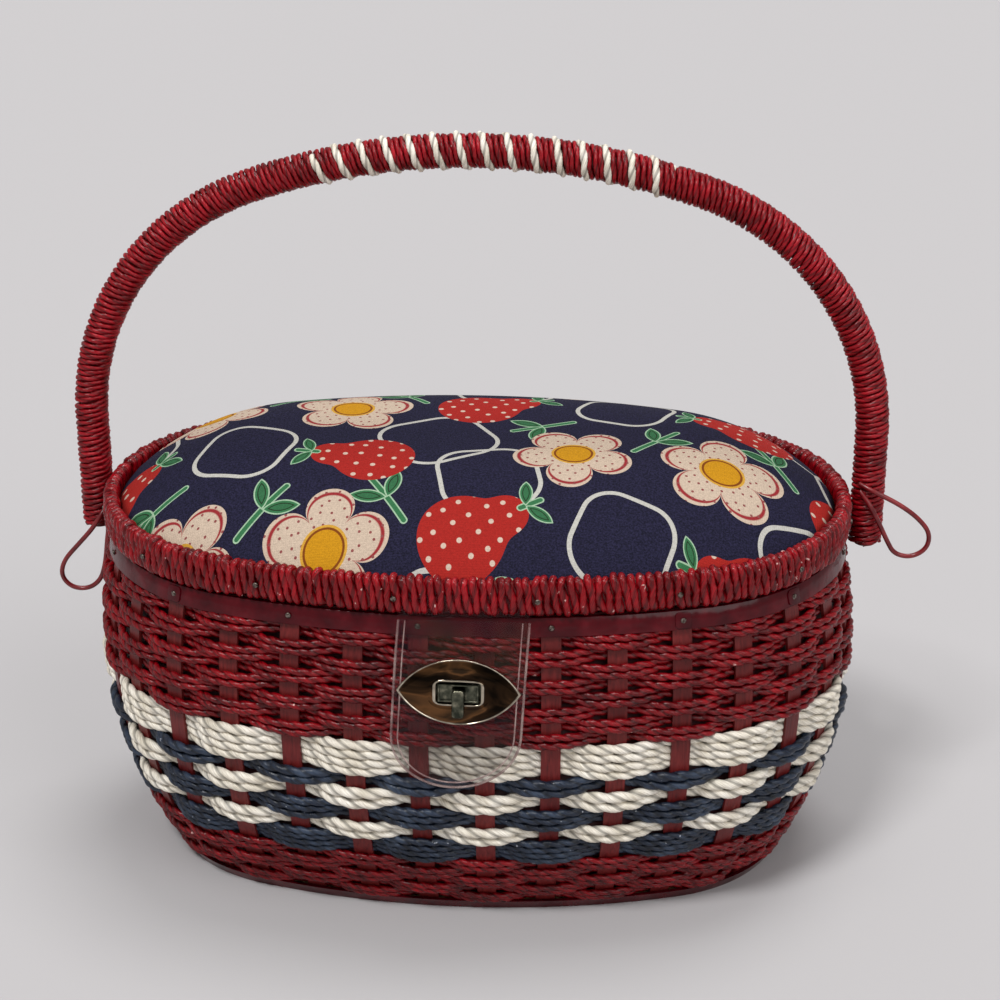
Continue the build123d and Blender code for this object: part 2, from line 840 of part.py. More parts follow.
handle_path = Wire(
    [
        Line((-handle_half_span, 0, handle_end_z), (-handle_half_span, 0, leg_top)),
        ThreePointArc(
            (-handle_half_span, 0, leg_top),
            shoulder_point(shoulder_middle_angle, -1),
            crown_point(-crown_angle),
        ),
        ThreePointArc(crown_point(-crown_angle), crown_point(0), crown_point(crown_angle)),
        ThreePointArc(
            crown_point(crown_angle),
            shoulder_point(shoulder_middle_angle, 1),
            (handle_half_span, 0, leg_top),
        ),
        Line((handle_half_span, 0, leg_top), (handle_half_span, 0, handle_end_z)),
    ]
)


def rod_along(path, radius):
    """Round rod swept along a wire."""
    start = Plane(origin=path @ 0, z_dir=path % 0)
    return sweep(start * Circle(radius), path=path)


handle_rod = Pos(0, pivot_back, 0) * rod_along(handle_path, handle_radius)
core_rod = Pos(0, pivot_back, 0) * rod_along(handle_path, handle_core_radius)
handle_winding = drilled(handle_rod - core_rod, pin_bores)
handle_core = drilled(core_rod, pin_bores)


def biarc(start, start_way, end, end_way):
    """Two arcs that leave one point and reach another in given directions."""
    p, t, q, s = Vector(*start), Vector(*start_way), Vector(*end), Vector(*end_way)
    v = q - p
    both = t + s
    a = 2 * (1 - t.dot(s))
    b = v.dot(both)
    d = (-b + sqrt(b * b + a * v.dot(v))) / a if a > 1e-9 else v.dot(v) / (2 * b)
    joint = (p + t * d + q - s * d) * 0.5
    arcs = []
    for one, way, other in ((p, t, joint), (joint, None, q)):
        if way is None:
            tip = q - s * d
        else:
            tip = p + t * d
        chord = (one + other) * 0.5
        reach = (tip - chord).length
        half_chord = (other - one).length / 2
        bend = atan2(reach, half_chord)
        sagitta = half_chord * (1 - cos(bend)) / sin(bend) if reach > 1e-6 else 0.0
        toward = (tip - chord).normalized() if reach > 1e-6 else Vector(0, 0, 0)
        arcs.append(ThreePointArc(one, chord + toward * sagitta, other))
    return arcs


def white_winding_point(turn):
    """Point and direction on the white cord's centreline after a number of turns."""
    ring = handle_radius + white_cord_radius + white_clearance
    along = (turn - white_turns / 2) * white_pitch + white_centre
    angle = along / handle_crown_radius
    spin = 2 * pi * turn
    out = handle_crown_radius + ring * cos(spin)
    point = (out * sin(angle), ring * sin(spin), crown_centre_z + out * cos(angle))
    turn_rate = 2 * pi
    angle_rate = white_pitch / handle_crown_radius
    out_rate = -ring * sin(spin) * turn_rate
    way = Vector(
        out_rate * sin(angle) + out * cos(angle) * angle_rate,
        ring * cos(spin) * turn_rate,
        out_rate * cos(angle) - out * sin(angle) * angle_rate,
    ).normalized()
    return point, tuple(way)


quarter = 0.25
winding_arcs = []
for step in range(int(white_turns / quarter)):
    start, start_way = white_winding_point(step * quarter)
    end, end_way = white_winding_point((step + 1) * quarter)
    winding_arcs += biarc(start, start_way, end, end_way)
white_path = Wire(winding_arcs)
white_winding = Pos(0, pivot_back, 0) * rod_along(white_path, white_cord_radius)

turn_samples = [Vector(*white_winding_point(n / 24)[0]) for n in range(white_turns * 24 + 1)]
least_gap = min(
    (turn_samples[i] - turn_samples[j]).length
    for i in range(len(turn_samples))
    for j in range(i + 18, min(i + 60, len(turn_samples)))
)
print("white winding's least gap to itself", round(least_gap - 2 * white_cord_radius, 2), "mm")


# Pins and washers that the handle turns on

pivot_pin = pivot_rod(pin_radius, pin_inner - pin_head_height, pin_outer)
pivot_pin = pivot_pin + pivot_rod(pin_head_radius, pin_inner - pin_head_height, pin_inner)
band_face = end_face(pivot_back - washer_radius, wall_out(pivot_z - washer_radius, band_outer))
washer = pivot_rod(
    washer_radius, band_face + seat_clearance, handle_inner_face - 0.3
) - pivot_rod(pin_radius + thin_gap / 2, band_face - 1, handle_inner_face + 1)


# Vinyl cord loops that come off the handle's legs beside the pivots: hand-placed routes whose
# points go outward from the leg's axis, to the back, and up from the pivot

left_loop_route = [
    (-4.8, -4.2, 2.5),
    (-2.4, -8.4, -1.5),
    (1.4, -9.2, -7.2),
    (8.2, -8.2, -15.0),
    (14.8, -7.2, -22.6),
    (16.8, -6.2, -30.2),
    (12.6, -5.6, -35.8),
    (5.4, -5.3, -36.2),
    (0.2, -5.3, -32.0),
    (-2.0, -5.5, -25.4),
    (-3.2, -5.8, -18.8),
    (-4.0, -6.1, -12.8),
    (-5.0, -6.5, -7.8),
    (-4.4, -4.5, -3.4),
]
right_loop_route = [
    (-4.0, -5.3, 19.9),
    (0.2, -8.9, 18.5),
    (6.6, -8.9, 15.5),
    (13.4, -8.1, 11.5),
    (20.0, -7.1, 6.3),
    (25.5, -6.1, -0.5),
    (25.0, -5.5, -7.9),
    (18.8, -5.4, -12.1),
    (11.6, -6.0, -10.5),
    (8.2, -7.2, -4.1),
    (5.2, -8.4, 2.5),
    (2.0, -9.0, 8.7),
    (-0.8, -8.5, 13.5),
    (-3.6, -5.3, 16.7),
]


def cord_tube(name, route, side):
    """Cord along straight runs joined by arcs as large as the runs allow."""
    points = [
        Vector(side * (handle_half_span + out), pivot_back + y, pivot_z + up)
        for out, y, up in route
    ]
    radii = []
    for before, here, after in zip(points, points[1:], points[2:]):
        first, second = here - before, after - here
        half_turn = radians(first.get_angle(second)) / 2
        radii.append(0.45 * min(first.length, second.length) * cos(half_turn) / sin(half_turn))
    path = Wire(FilletPolyline(*points, radius=radii).edges())
    tube = rod_along(path, loop_cord_radius)
    expected = pi * loop_cord_radius**2 * path.length
    print(name, "length", round(path.length, 1), "mm, radii", [round(r, 1) for r in radii])
    print(name, "volume over section times length", round(tube.volume / expected, 4))
    return tube


left_loop = cord_tube("left loop", left_loop_route, -1) - handle_rod
right_loop = cord_tube("right loop", right_loop_route, 1) - handle_rod


# Every piece, by the name of its node

pieces = {
    "base_board": base_board,
    "base_hoop": base_hoop,
    "floor_lining": floor_lining,
    "wall_lining": wall_lining,
    "stakes": stakes,
    "outer_rim_band": outer_band,
    "inner_rim_hoop": inner_hoop,
    "rim_nails": rim_nails,
    "hinge_lower_leaves": lower_leaves,
    "hinge_pins": hinge_pins,
    "hinge_upper_leaves": upper_leaves,
    "hinge_nails_lower": hinge_nails[0::2],
    "hinge_nails_upper": hinge_nails[1::2],
    "lock_base_plate": lock_base_plate,
    "lock_backing_plate": lock_backing_plate,
    "lock_rivets": lock_rivets,
    "turn_button": turn_button,
    "button_washer": button_washer,
    "lid_hoop": lid_hoop,
    "lid_rim_wrap": lid_wrap,
    "lid_board": lid_board,
    "lid_padding": lid_padding,
    "lid_cover": lid_cover,
    "lid_lining": lid_lining,
    "lid_nails": lid_nails,
    "flap_tab": flap_tab,
    "latch_flap": latch_flap,
    "eye_plate": eye_plate,
    "eye_back_plate": eye_back_plate,
    "eye_rivets": eye_rivets,
    "handle_core": handle_core,
    "handle_winding": handle_winding,
    "handle_white_winding": white_winding,
    "handle_loop_left": left_loop,
    "handle_loop_right": right_loop,
    "pivot_pins": both_ends(pivot_pin),
    "pivot_washers": both_ends(washer),
} | rows


def loose_solids(shape):
    """The solids of a piece, or of each piece of a group."""
    if isinstance(shape, list):
        return [solid for one in shape for solid in one.solids()]
    return list(shape.solids())


os.makedirs("parts", exist_ok=True)
for name, shape in pieces.items():
    solids = loose_solids(shape)
    export_step(solids[0] if len(solids) == 1 else Compound(solids), f"parts/{name}.step")
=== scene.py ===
import json
import math

import bpy
import numpy as np
from mathutils import Matrix, Vector

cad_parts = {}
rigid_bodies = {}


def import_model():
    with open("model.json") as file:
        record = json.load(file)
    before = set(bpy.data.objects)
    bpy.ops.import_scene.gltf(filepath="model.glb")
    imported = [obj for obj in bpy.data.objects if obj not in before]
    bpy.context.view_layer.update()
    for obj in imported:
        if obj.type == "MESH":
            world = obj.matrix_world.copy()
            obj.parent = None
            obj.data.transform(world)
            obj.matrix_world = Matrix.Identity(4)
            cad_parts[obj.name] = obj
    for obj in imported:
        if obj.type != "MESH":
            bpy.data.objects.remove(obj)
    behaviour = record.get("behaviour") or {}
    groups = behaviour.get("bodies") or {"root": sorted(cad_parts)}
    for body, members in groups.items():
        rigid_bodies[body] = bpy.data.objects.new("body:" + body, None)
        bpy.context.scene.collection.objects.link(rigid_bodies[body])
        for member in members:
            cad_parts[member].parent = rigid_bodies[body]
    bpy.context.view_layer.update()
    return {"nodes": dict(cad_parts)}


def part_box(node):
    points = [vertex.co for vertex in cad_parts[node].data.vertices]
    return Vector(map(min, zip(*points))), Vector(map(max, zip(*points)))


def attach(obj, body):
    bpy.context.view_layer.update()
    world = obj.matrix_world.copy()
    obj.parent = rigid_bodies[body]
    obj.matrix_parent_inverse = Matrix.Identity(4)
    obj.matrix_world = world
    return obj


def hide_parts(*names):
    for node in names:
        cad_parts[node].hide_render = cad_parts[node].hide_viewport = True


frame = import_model()
nodes = frame["nodes"]
for node in bpy.context.view_layer.objects:
    node.select_set(False)

# Camera: a long lens in front of the basket, a little to its right and well above the rim.
MM = 0.001
rim_z = 0.139
camera_data = bpy.data.cameras.new("camera")
camera_data.lens = 82.8
camera_data.sensor_width = 36.0
camera = bpy.data.objects.new("camera", camera_data)
bpy.context.scene.collection.objects.link(camera)
bpy.context.scene.camera = camera
camera_azimuth = math.radians(3.6)
camera_elevation = math.radians(22.8)
camera_distance = 0.935
camera_target = Vector((0.0097, 0.0, rim_z + 0.0086))
camera_back = Vector(
    (
        math.sin(camera_azimuth) * math.cos(camera_elevation),
        -math.cos(camera_azimuth) * math.cos(camera_elevation),
        math.sin(camera_elevation),
    )
)
camera.location = camera_target + camera_back * camera_distance
camera.rotation_mode = "QUATERNION"
camera.rotation_quaternion = (-camera_back).to_track_quat("-Z", "Y")
bpy.context.scene.view_settings.view_transform = "Standard"


# Handle loops: red vinyl cord, 2 mm thick and extruded round a core, knotted on the handle's
# ends. Each hangs as one limp loop beside the pivot. The routes are those of the solids: points
# outwards from the leg's axis, to the back, and up from the pivot.
def linear(hex_colour):
    """Linear colour of an sRGB hex value."""
    channels = [int(hex_colour[i : i + 2], 16) / 255 for i in (1, 3, 5)]
    values = [c / 12.92 if c <= 0.04045 else ((c + 0.055) / 1.055) ** 2.4 for c in channels]
    return (*values, 1.0)


def new_material(name, colour, roughness, **sockets):
    """Material whose shader has a colour, a roughness and any other socket values."""
    material = bpy.data.materials.new(name)
    material.use_nodes = True
    shader = material.node_tree.nodes["Principled BSDF"]
    shader.inputs["Base Color"].default_value = linear(colour)
    shader.inputs["Roughness"].default_value = roughness
    for socket, value in sockets.items():
        shader.inputs[socket.replace("_", " ")].default_value = value
    return material


def add(material, kind, inputs=None, take=0, stops=None, to=None, **settings):
    """Adds a node with its settings and inputs, and gives one output or feeds the shader."""
    tree = material.node_tree
    node = tree.nodes.new(kind)
    for name, value in settings.items():
        setattr(node, name, value)
    for key, value in (inputs or {}).items():
        if isinstance(value, bpy.types.NodeSocket):
            tree.links.new(value, node.inputs[key])
        else:
            node.inputs[key].default_value = value
    for place, colour in (stops or [])[2:]:
        node.color_ramp.elements.new(place)
    for element, (place, colour) in zip(node.color_ramp.elements if stops else [], stops or []):
        element.position = place
        element.color = linear(colour)
    if to:
        tree.links.new(node.outputs[take], tree.nodes["Principled BSDF"].inputs[to])
    return node.outputs[take]


def dress(piece, material, body=None):
    """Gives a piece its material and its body."""
    piece.data.materials.clear()
    piece.data.materials.append(material)
    if body:
        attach(piece, body)
    return piece


handle_span = 159.1
pivot_back = 13.0
pivot_height = 135.5
loop_radius = 1.0 * MM
left_loop_route = [
    (-4.8, -4.2, 2.5),
    (-2.4, -8.4, -1.5),
    (1.4, -9.2, -7.2),
    (8.2, -8.2, -15.0),
    (14.8, -7.2, -22.6),
    (16.8, -6.2, -30.2),
    (12.6, -5.6, -35.8),
    (5.4, -5.3, -36.2),
    (0.2, -5.3, -32.0),
    (-2.0, -5.5, -25.4),
    (-3.2, -5.8, -18.8),
    (-4.0, -6.1, -12.8),
    (-5.0, -6.5, -7.8),
    (-4.4, -4.5, -3.4),
]
right_loop_route = [
    (-4.0, -5.3, 19.9),
    (0.2, -8.9, 18.5),
    (6.6, -8.9, 15.5),
    (13.4, -8.1, 11.5),
    (20.0, -7.1, 6.3),
    (25.5, -6.1, -0.5),
    (25.0, -5.5, -7.9),
    (18.8, -5.4, -12.1),
    (11.6, -6.0, -10.5),
    (8.2, -7.2, -4.1),
    (5.2, -8.4, 2.5),
    (2.0, -9.0, 8.7),
    (-0.8, -8.5, 13.5),
    (-3.6, -5.3, 16.7),
]
# Moulded vinyl: glossy, a little worn, so the shine breaks up along it.
red_vinyl = new_material("red_moulded_vinyl", "#6a1218", 0.25, Specular_IOR_Level=0.5)
place = add(red_vinyl, "ShaderNodeTexCoord", take="Object")
patches = add(red_vinyl, "ShaderNodeTexNoise", {"Vector": place, "Scale": 1 / (6 * MM)})
add(
    red_vinyl, "ShaderNodeValToRGB", {"Fac": patches}, to="Base Color",
    stops=[(0.3, "#560a11"), (0.7, "#8a2226")],
)
grain = add(red_vinyl, "ShaderNodeTexNoise", {"Vector": place, "Scale": 1 / (0.6 * MM)})
add(red_vinyl, "ShaderNodeBump", {"Height": grain, "Distance": 0.03 * MM}, to="Normal")
for side, loop, loop_route, loop_length in (
    (-1, "left", left_loop_route, 0.0901),
    (1, "right", right_loop_route, 0.0905),
):
    loop_curve = bpy.data.curves.new(f"vinyl_loop_{loop}", "CURVE")
    loop_curve.dimensions = "3D"
    loop_curve.bevel_depth = loop_radius
    loop_curve.bevel_resolution = 4
    loop_curve.resolution_u = 10
    loop_curve.use_fill_caps = True
    loop_spline = loop_curve.splines.new("NURBS")
    loop_spline.points.add(len(loop_route) - 1)
    for point, (out, back, up) in zip(loop_spline.points, loop_route):
        x, y, z = side * (handle_span + out), pivot_back + back, pivot_height + up
        point.co = (x * MM, y * MM, z * MM, 1.0)
    loop_spline.order_u = 3
    loop_spline.use_endpoint_u = True
    vinyl_loop = bpy.data.objects.new(f"vinyl_loop_{loop}", loop_curve)
    bpy.context.scene.collection.objects.link(vinyl_loop)
    dress(vinyl_loop, red_vinyl, "handle")
    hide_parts(f"handle_loop_{loop}")


# Base: a hardboard oval in a lacquered strip. The basket's rings all follow one four-arc oval,
# and its wall is one arc from the rim through the belly to the foot.
end_radius = 0.085
half_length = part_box("lid_rim_wrap")[1].x
half_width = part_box("lid_rim_wrap")[1].y
end_shift = half_length - end_radius
side_radius = (end_shift**2 + half_width**2 - end_radius**2) / (2 * (half_width - end_radius))
side_drop = side_radius - half_width
end_angle = math.atan2(side_drop, end_shift)
outline_arcs = [
    ((0.0, side_drop), side_radius, -math.pi / 2, math.pi / 2 - end_angle),
    ((end_shift, 0.0), end_radius, -end_angle, 2 * end_angle),
    ((0.0, -side_drop), side_radius, end_angle, math.pi - 2 * end_angle),
    ((-end_shift, 0.0), end_radius, math.pi - end_angle, 2 * end_angle),
    ((0.0, side_drop), side_radius, math.pi + end_angle, math.pi / 2 - end_angle),
]
arc_lengths = [radius * sweep for _, radius, _, sweep in outline_arcs]
outline_length = sum(arc_lengths)
rim_inset, belly_outset, foot_inset, belly_depth = 1.2 * MM, 4.7 * MM, 20.6 * MM, 45 * MM


def circle_through(a, b, c):
    """Centre and radius of the circle through three points of a plane."""
    d = 2 * (a[0] * (b[1] - c[1]) + b[0] * (c[1] - a[1]) + c[0] * (a[1] - b[1]))
    squares = [p[0] ** 2 + p[1] ** 2 for p in (a, b, c)]
    x = (squares[0] * (b[1] - c[1]) + squares[1] * (c[1] - a[1]) + squares[2] * (a[1] - b[1])) / d
    y = (squares[0] * (c[0] - b[0]) + squares[1] * (a[0] - c[0]) + squares[2] * (b[0] - a[0])) / d
    return (x, y), math.hypot(a[0] - x, a[1] - y)


wall_centre, wall_radius = circle_through(
    (-rim_inset, rim_z), (belly_outset, rim_z - belly_depth), (-foot_inset, 0.0)
)


def wall_out(z, inset=0.0):
    """Outward offset of the wall's arc at heights, set in or out."""
    return wall_centre[0] + np.sqrt((wall_radius + inset) ** 2 - (z - wall_centre[1]) ** 2)


def on_outline(distance, out, z):
    """Points at distances round the outline from the front's middle, offsets out and heights."""
    distance = np.asarray(distance, float) % outline_length
    out, z = np.broadcast_to(out, distance.shape), np.broadcast_to(z, distance.shape)
    points = np.empty((*distance.shape, 3))
    start_distance = 0.0
    for (centre, radius, start, _), length in zip(outline_arcs, arc_lengths):
        here = (distance >= start_distance) & (distance <= start_distance + length)
        angle = start + (distance[here] - start_distance) / radius
        points[here, 0] = centre[0] + (radius + out[here]) * np.cos(angle)
        points[here, 1] = centre[1] + (radius + out[here]) * np.sin(angle)
        start_distance += length
    points[..., 2] = z
    return points


def select_only(*objects):
    """Makes these objects the selection, and the first of them active."""
    for other in bpy.context.view_layer.objects:
        other.select_set(False)
    for one in objects:
        one.select_set(True)
    bpy.context.view_layer.objects.active = objects[0]


# Hardboard: pressed fibre, matt, with fine darker fibres.
hardboard = new_material("hardboard", "#8f7454", 0.85, Specular_IOR_Level=0.2)
place = add(hardboard, "ShaderNodeTexCoord", take="Object")
fibre = add(hardboard, "ShaderNodeTexNoise", {"Vector": place, "Scale": 1 / (2 * MM), "Detail": 6})
add(
    hardboard, "ShaderNodeValToRGB", {"Fac": fibre}, to="Base Color",
    stops=[(0.35, "#6c5339"), (0.65, "#a58a66")],
)
add(hardboard, "ShaderNodeBump", {"Height": fibre, "Distance": 0.1 * MM}, to="Normal")
dress(nodes["base_board"], hardboard)
dress(nodes["lid_board"], hardboard)

# Lacquered strip: smooth and glossy, a little uneven where the lacquer pooled.
strip_lacquer = new_material("crimson_lacquer", "#4c020d", 0.2, Specular_IOR_Level=0.25)
place = add(strip_lacquer, "ShaderNodeTexCoord", take="Object")
pooled = add(strip_lacquer, "ShaderNodeTexNoise", {"Vector": place, "Scale": 1 / (9 * MM)})
add(
    strip_lacquer, "ShaderNodeValToRGB", {"Fac": pooled}, to="Base Color",
    stops=[(0.3, "#3a0008"), (0.55, "#4c020d"), (0.75, "#5e0f19")],
)
add(strip_lacquer, "ShaderNodeBump", {"Height": pooled, "Distance": 0.5 * MM}, to="Normal")
dress(nodes["base_hoop"], strip_lacquer)


# Stakes: split beech, stained dark red, 7.5 mm wide and flat. They stand in the hoops, and the
# stain lets the upright grain show as thin dark lines.
stained_beech = new_material("stained_beech", "#6c1d1e", 0.4, Specular_IOR_Level=0.3)
place = add(stained_beech, "ShaderNodeTexCoord", take="Object")
upright = add(stained_beech, "ShaderNodeMapping", {"Vector": place, "Scale": (1, 1, 0.05)})
lines = add(
    stained_beech, "ShaderNodeTexNoise",
    {"Vector": upright, "Scale": 1 / (0.9 * MM), "Detail": 4, "Roughness": 0.6},
)
grain = add(
    stained_beech, "ShaderNodeValToRGB", {"Fac": lines},
    stops=[(0.25, "#4c1213"), (0.42, "#6a1d1d"), (0.6, "#782423"), (0.78, "#88312e")],
)
blotch = add(stained_beech, "ShaderNodeTexNoise", {"Vector": place, "Scale": 1 / (30 * MM)})
tint = add(
    stained_beech, "ShaderNodeValToRGB", {"Fac": blotch},
    stops=[(0.35, "#d6c8c8"), (0.65, "#ffffff")],
)
add(
    stained_beech, "ShaderNodeMix", {0: 1.0, 6: grain, 7: tint}, take=2, to="Base Color",
    data_type="RGBA", blend_type="MULTIPLY",
)
add(stained_beech, "ShaderNodeBump", {"Height": lines, "Distance": 0.15 * MM}, to="Normal")
for name in ("stakes", "inner_rim_hoop", "lid_hoop", "handle_core"):
    dress(nodes[name], stained_beech)


# Weave: rows of two-ply twisted paper cord, lacquered red or dyed white and slate blue, that
# pass in front of one stake and behind the next. Each row lays two to four cords side by side.
stake_count = 32
first_stake = 9.8 * MM
weave_middle = -4.0 * MM
cord_sides = 12
# One generator draws all small unevenness, section after section.
rng = np.random.default_rng(7)


def cord_section(name, radius, ply):
    """Cross-section of a two-ply cord: two round plies, pressed together, with a groove."""
    curve = bpy.data.curves.new(name, "CURVE")
    curve.dimensions = "2D"
    spline = curve.splines.new("POLY")
    spline.points.add(cord_sides - 1)
    for i, point in enumerate(spline.points):
        angle = 2 * math.pi * i / cord_sides
        across, up = math.cos(angle), math.sin(angle)
        reach = (1 - ply) * abs(across) + math.sqrt(ply**2 - (1 - ply) ** 2 * up**2)
        point.co = (reach * radius * across, reach * radius * up, 0, 1)
    spline.use_cyclic_u = True
    section = bpy.data.objects.new(name, curve)
    bpy.context.scene.collection.objects.link(section)
    return section


def laid_cords(name, paths, radius, lay, closed, twist="Z_UP", ply=0.74):
    """Twisted cords along paths, as one mesh that knows where it lies between the plies.

    Its UV map is in metres, along the cord and round it.
    """
    section = cord_section("cord_section", radius, ply)
    curve = bpy.data.curves.new(name, "CURVE")
    curve.dimensions = "3D"
    curve.bevel_mode = "OBJECT"
    curve.bevel_object = section
    curve.twist_mode = twist
    curve.use_fill_caps = not closed
    lengths = []
    for path in paths:
        spline = curve.splines.new("POLY")
        spline.points.add(len(path) - 1)
        steps = np.linalg.norm(np.diff(path, axis=0, append=path[:1]), axis=1)
        length = steps.sum() if closed else steps[:-1].sum()
        lengths.append(length)
        turns = round(length / lay) if closed else length / lay
        along = np.concatenate([[0.0], np.cumsum(steps[:-1])]) / length
        spline.points.foreach_set("co", np.column_stack([path, np.ones(len(path))]).ravel())
        spline.points.foreach_set("tilt", (along * turns + rng.uniform()) * 2 * math.pi)
        spline.use_cyclic_u = closed
    piece = bpy.data.objects.new(name, curve)
    bpy.context.scene.collection.objects.link(piece)
    select_only(piece)
    bpy.ops.object.convert(target="MESH")
    piece = bpy.context.object
    bpy.data.objects.remove(section)
    around = np.arange(len(piece.data.vertices)) % cord_sides * 2 * math.pi / cord_sides
    dip = piece.data.attributes.new("between_plies", "FLOAT", "POINT")
    dip.data.foreach_set("value", np.abs(np.sin(around)).astype(np.float32))
    uv = np.zeros(len(piece.data.loops) * 2, np.float32)
    layer = piece.data.uv_layers[0].data
    layer.foreach_get("uv", uv)
    uv = uv.reshape(-1, 2)
    uv[:, 0] *= np.mean(lengths)
    uv[:, 1] *= 2 * math.pi * radius
    layer.foreach_set("uv", uv.ravel())
    piece.data.polygons.foreach_set("use_smooth", np.ones(len(piece.data.polygons), bool))
    return piece


def cord_finish(name, dark, body, light, roughness, gloss, groove, rub_and_glint=None, rub_and_glint_from=0.7):
    """Twisted paper cord: fibres run along the plies, the grooves between them are darkened as
    painted shade, and pale flecks are rubbed lacquer on the red cords but painted highlights on the
    slate blue one.
    """
    material = new_material(name, body, roughness, Specular_IOR_Level=gloss)
    place = add(material, "ShaderNodeTexCoord", take="Object")
    uv = add(material, "ShaderNodeUVMap")
    broad = add(material, "ShaderNodeTexNoise", {"Vector": place, "Scale": 1 / (9 * MM)})
    colour = add(
        material, "ShaderNodeValToRGB", {"Fac": broad},
        stops=[(0.3, dark), (0.5, body), (0.7, light)],
    )
    stretched = add(material, "ShaderNodeMapping", {"Vector": uv, "Scale": (0.16, 1.0, 1.0)})
    fibre = add(
        material, "ShaderNodeTexNoise",
        {"Vector": stretched, "Scale": 1 / (0.5 * MM), "Detail": 2.0},
    )
    shade = add(
        material, "ShaderNodeValToRGB", {"Fac": fibre},
        stops=[(0.32, groove), (0.6, "#ffffff")],
    )
    colour = add(
        material, "ShaderNodeMix", {0: 0.8, 6: colour, 7: shade}, take=2,
        data_type="RGBA", blend_type="MULTIPLY",
    )
    # Painted shade: the grooves between the plies are darkened, the crests lifted a little.
    dip = add(material, "ShaderNodeAttribute", take="Fac", attribute_name="between_plies")
    groove_shade = add(material, "ShaderNodeMapRange", {0: dip, 1: 0.8, 2: 1.0, 3: 1.12, 4: 0.42})
    colour = add(
        material, "ShaderNodeMix", {0: 1.0, 6: colour, 7: groove_shade}, take=2,
        data_type="RGBA", blend_type="MULTIPLY",
    )
    # Pale flecks: rubbed lacquer on the red cords, painted highlights on the slate blue cord.
    if rub_and_glint:
        fleck = add(
            material, "ShaderNodeTexNoise", {"Vector": place, "Scale": 1 / (2.6 * MM), "Detail": 3}
        )
        rubbed_and_glinting = add(material, "ShaderNodeMapRange", {0: fleck, 1: rub_and_glint_from, 2: rub_and_glint_from + 0.03})
        colour = add(
            material, "ShaderNodeMix", {0: rubbed_and_glinting, 6: colour, 7: linear(rub_and_glint)}, take=2,
            data_type="RGBA",
        )
    add(material, "ShaderNodeMix", {0: 0.0, 6: colour}, take=2, to="Base Color", data_type="RGBA")
    add(
        material, "ShaderNodeMapRange",
        {0: fibre, 1: 0.3, 2: 0.7, 3: roughness - 0.08, 4: roughness + 0.16}, to="Roughness",
    )
    add(material, "ShaderNodeBump", {"Height": fibre, "Distance": 0.16 * MM}, to="Normal")
    return material


red_cord = cord_finish(
    "red_lacquered_paper_cord", "#5c0007", "#7f000c", "#980614", 0.23, 0.34, "#707070",
    "#d8a9a2", 0.735,
)
white_cord = cord_finish(
    "white_paper_cord", "#ddd5c4", "#f0e9db", "#faf5ea", 0.42, 0.35, "#c4c0b8"
)
# The slate blue cord's pale flecks are painted highlights.
blue_cord = cord_finish(
    "slate_blue_paper_cord", "#141b29", "#222d40", "#3b495e", 0.3, 0.4, "#808080", "#b9bec8", 0.72
)

# Each row's name, height, number of cords, finish, fan between the stakes and sag over them.
row_list = [(f"red_row_{n}", 5.6, 2, red_cord, 0.08, 0.15) for n in range(1, 9)]
row_list += [
    ("white_row_broad", 14.4, 4, white_cord, 0.07, 0.0),
    ("blue_row_upper", 7.0, 2, blue_cord, 0.16, 0.5),
    ("white_row_middle", 8.0, 2, white_cord, 0.14, 0.6),
    ("blue_row_middle", 9.0, 3, blue_cord, 0.16, 0.5),
    ("white_row_lower", 7.2, 2, white_cord, 0.14, 0.6),
    ("blue_row_broad", 11.0, 4, blue_cord, 0.12, 0.3),
]
row_list += [(f"red_row_{n}", 5.1, 2, red_cord, 0.08, 0.2) for n in range(9, 14)]
cord_step = 0.7 * MM
row_top = rim_z - 7.7 * MM
for number, (name, height, cords, material, fan, sag) in enumerate(row_list):
    height *= MM
    cord_radius = height / cords / 2 * 1.17
    weave_wave = 0.6 * MM + 0.82 * cord_radius
    paths = []
    for cord in range(cords):
        rise = height * (0.5 - (cord + 0.5) / cords)
        count = int(outline_length / cord_step)
        s = np.linspace(0, outline_length, count, endpoint=False)
        phase = (s - first_stake) / outline_length * stake_count * math.pi
        over = (1 if number % 2 == 0 else -1) * np.cos(phase)
        swing = np.tanh(1.2 * over) / math.tanh(1.2)
        drift = sum(
            rng.uniform(-0.16, 0.16)
            * np.sin(k * 2 * math.pi * s / outline_length + rng.uniform(0, 6.28))
            for k in (5, 9, 17, 26)
        )
        heights = row_top - height / 2 + rise * (1 + fan * over) - sag * MM * over + drift * MM
        out = wall_out(heights, weave_middle) + weave_wave * swing
        paths.append(on_outline(s, out, heights))
    row = laid_cords(f"woven_{name}", paths, cord_radius, 4 * height / cords, True)
    dress(row, material, "basket")
    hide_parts(name)
    row_top -= height


# Rim band: a flat lacquered strip round the top of the weave, pressed against the stakes by
# small nails. At three of them the strip has a raised, rounded square pressed into it.
band_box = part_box("outer_rim_band")
band_top, band_low = band_box[1].z, band_box[0].z
band_middle = (band_top + band_low) / 2
band_outer = band_box[1].x - half_length - float(wall_out(band_low))
band_thickness = 1.5 * MM
band_slope = math.atan2(wall_out(band_low) - wall_out(band_top), band_top - band_low)
band_curve = bpy.data.curves.new("rim_band_section", "CURVE")
band_curve.dimensions = "2D"
band_spline = band_curve.splines.new("POLY")
half_high, half_thick, edge = (band_top - band_low) / 2, band_thickness / 2, 0.12 * MM
corners = [
    (half_thick - edge, -half_high), (half_thick, -half_high + edge),
    (half_thick + 0.15 * MM, 0.0), (half_thick, half_high - edge),
    (half_thick - edge, half_high), (-half_thick, half_high), (-half_thick, -half_high),
]
band_spline.points.add(len(corners) - 1)
for point, (out, up) in zip(band_spline.points, corners):
    point.co = (out + up * -math.tan(band_slope), up, 0, 1)
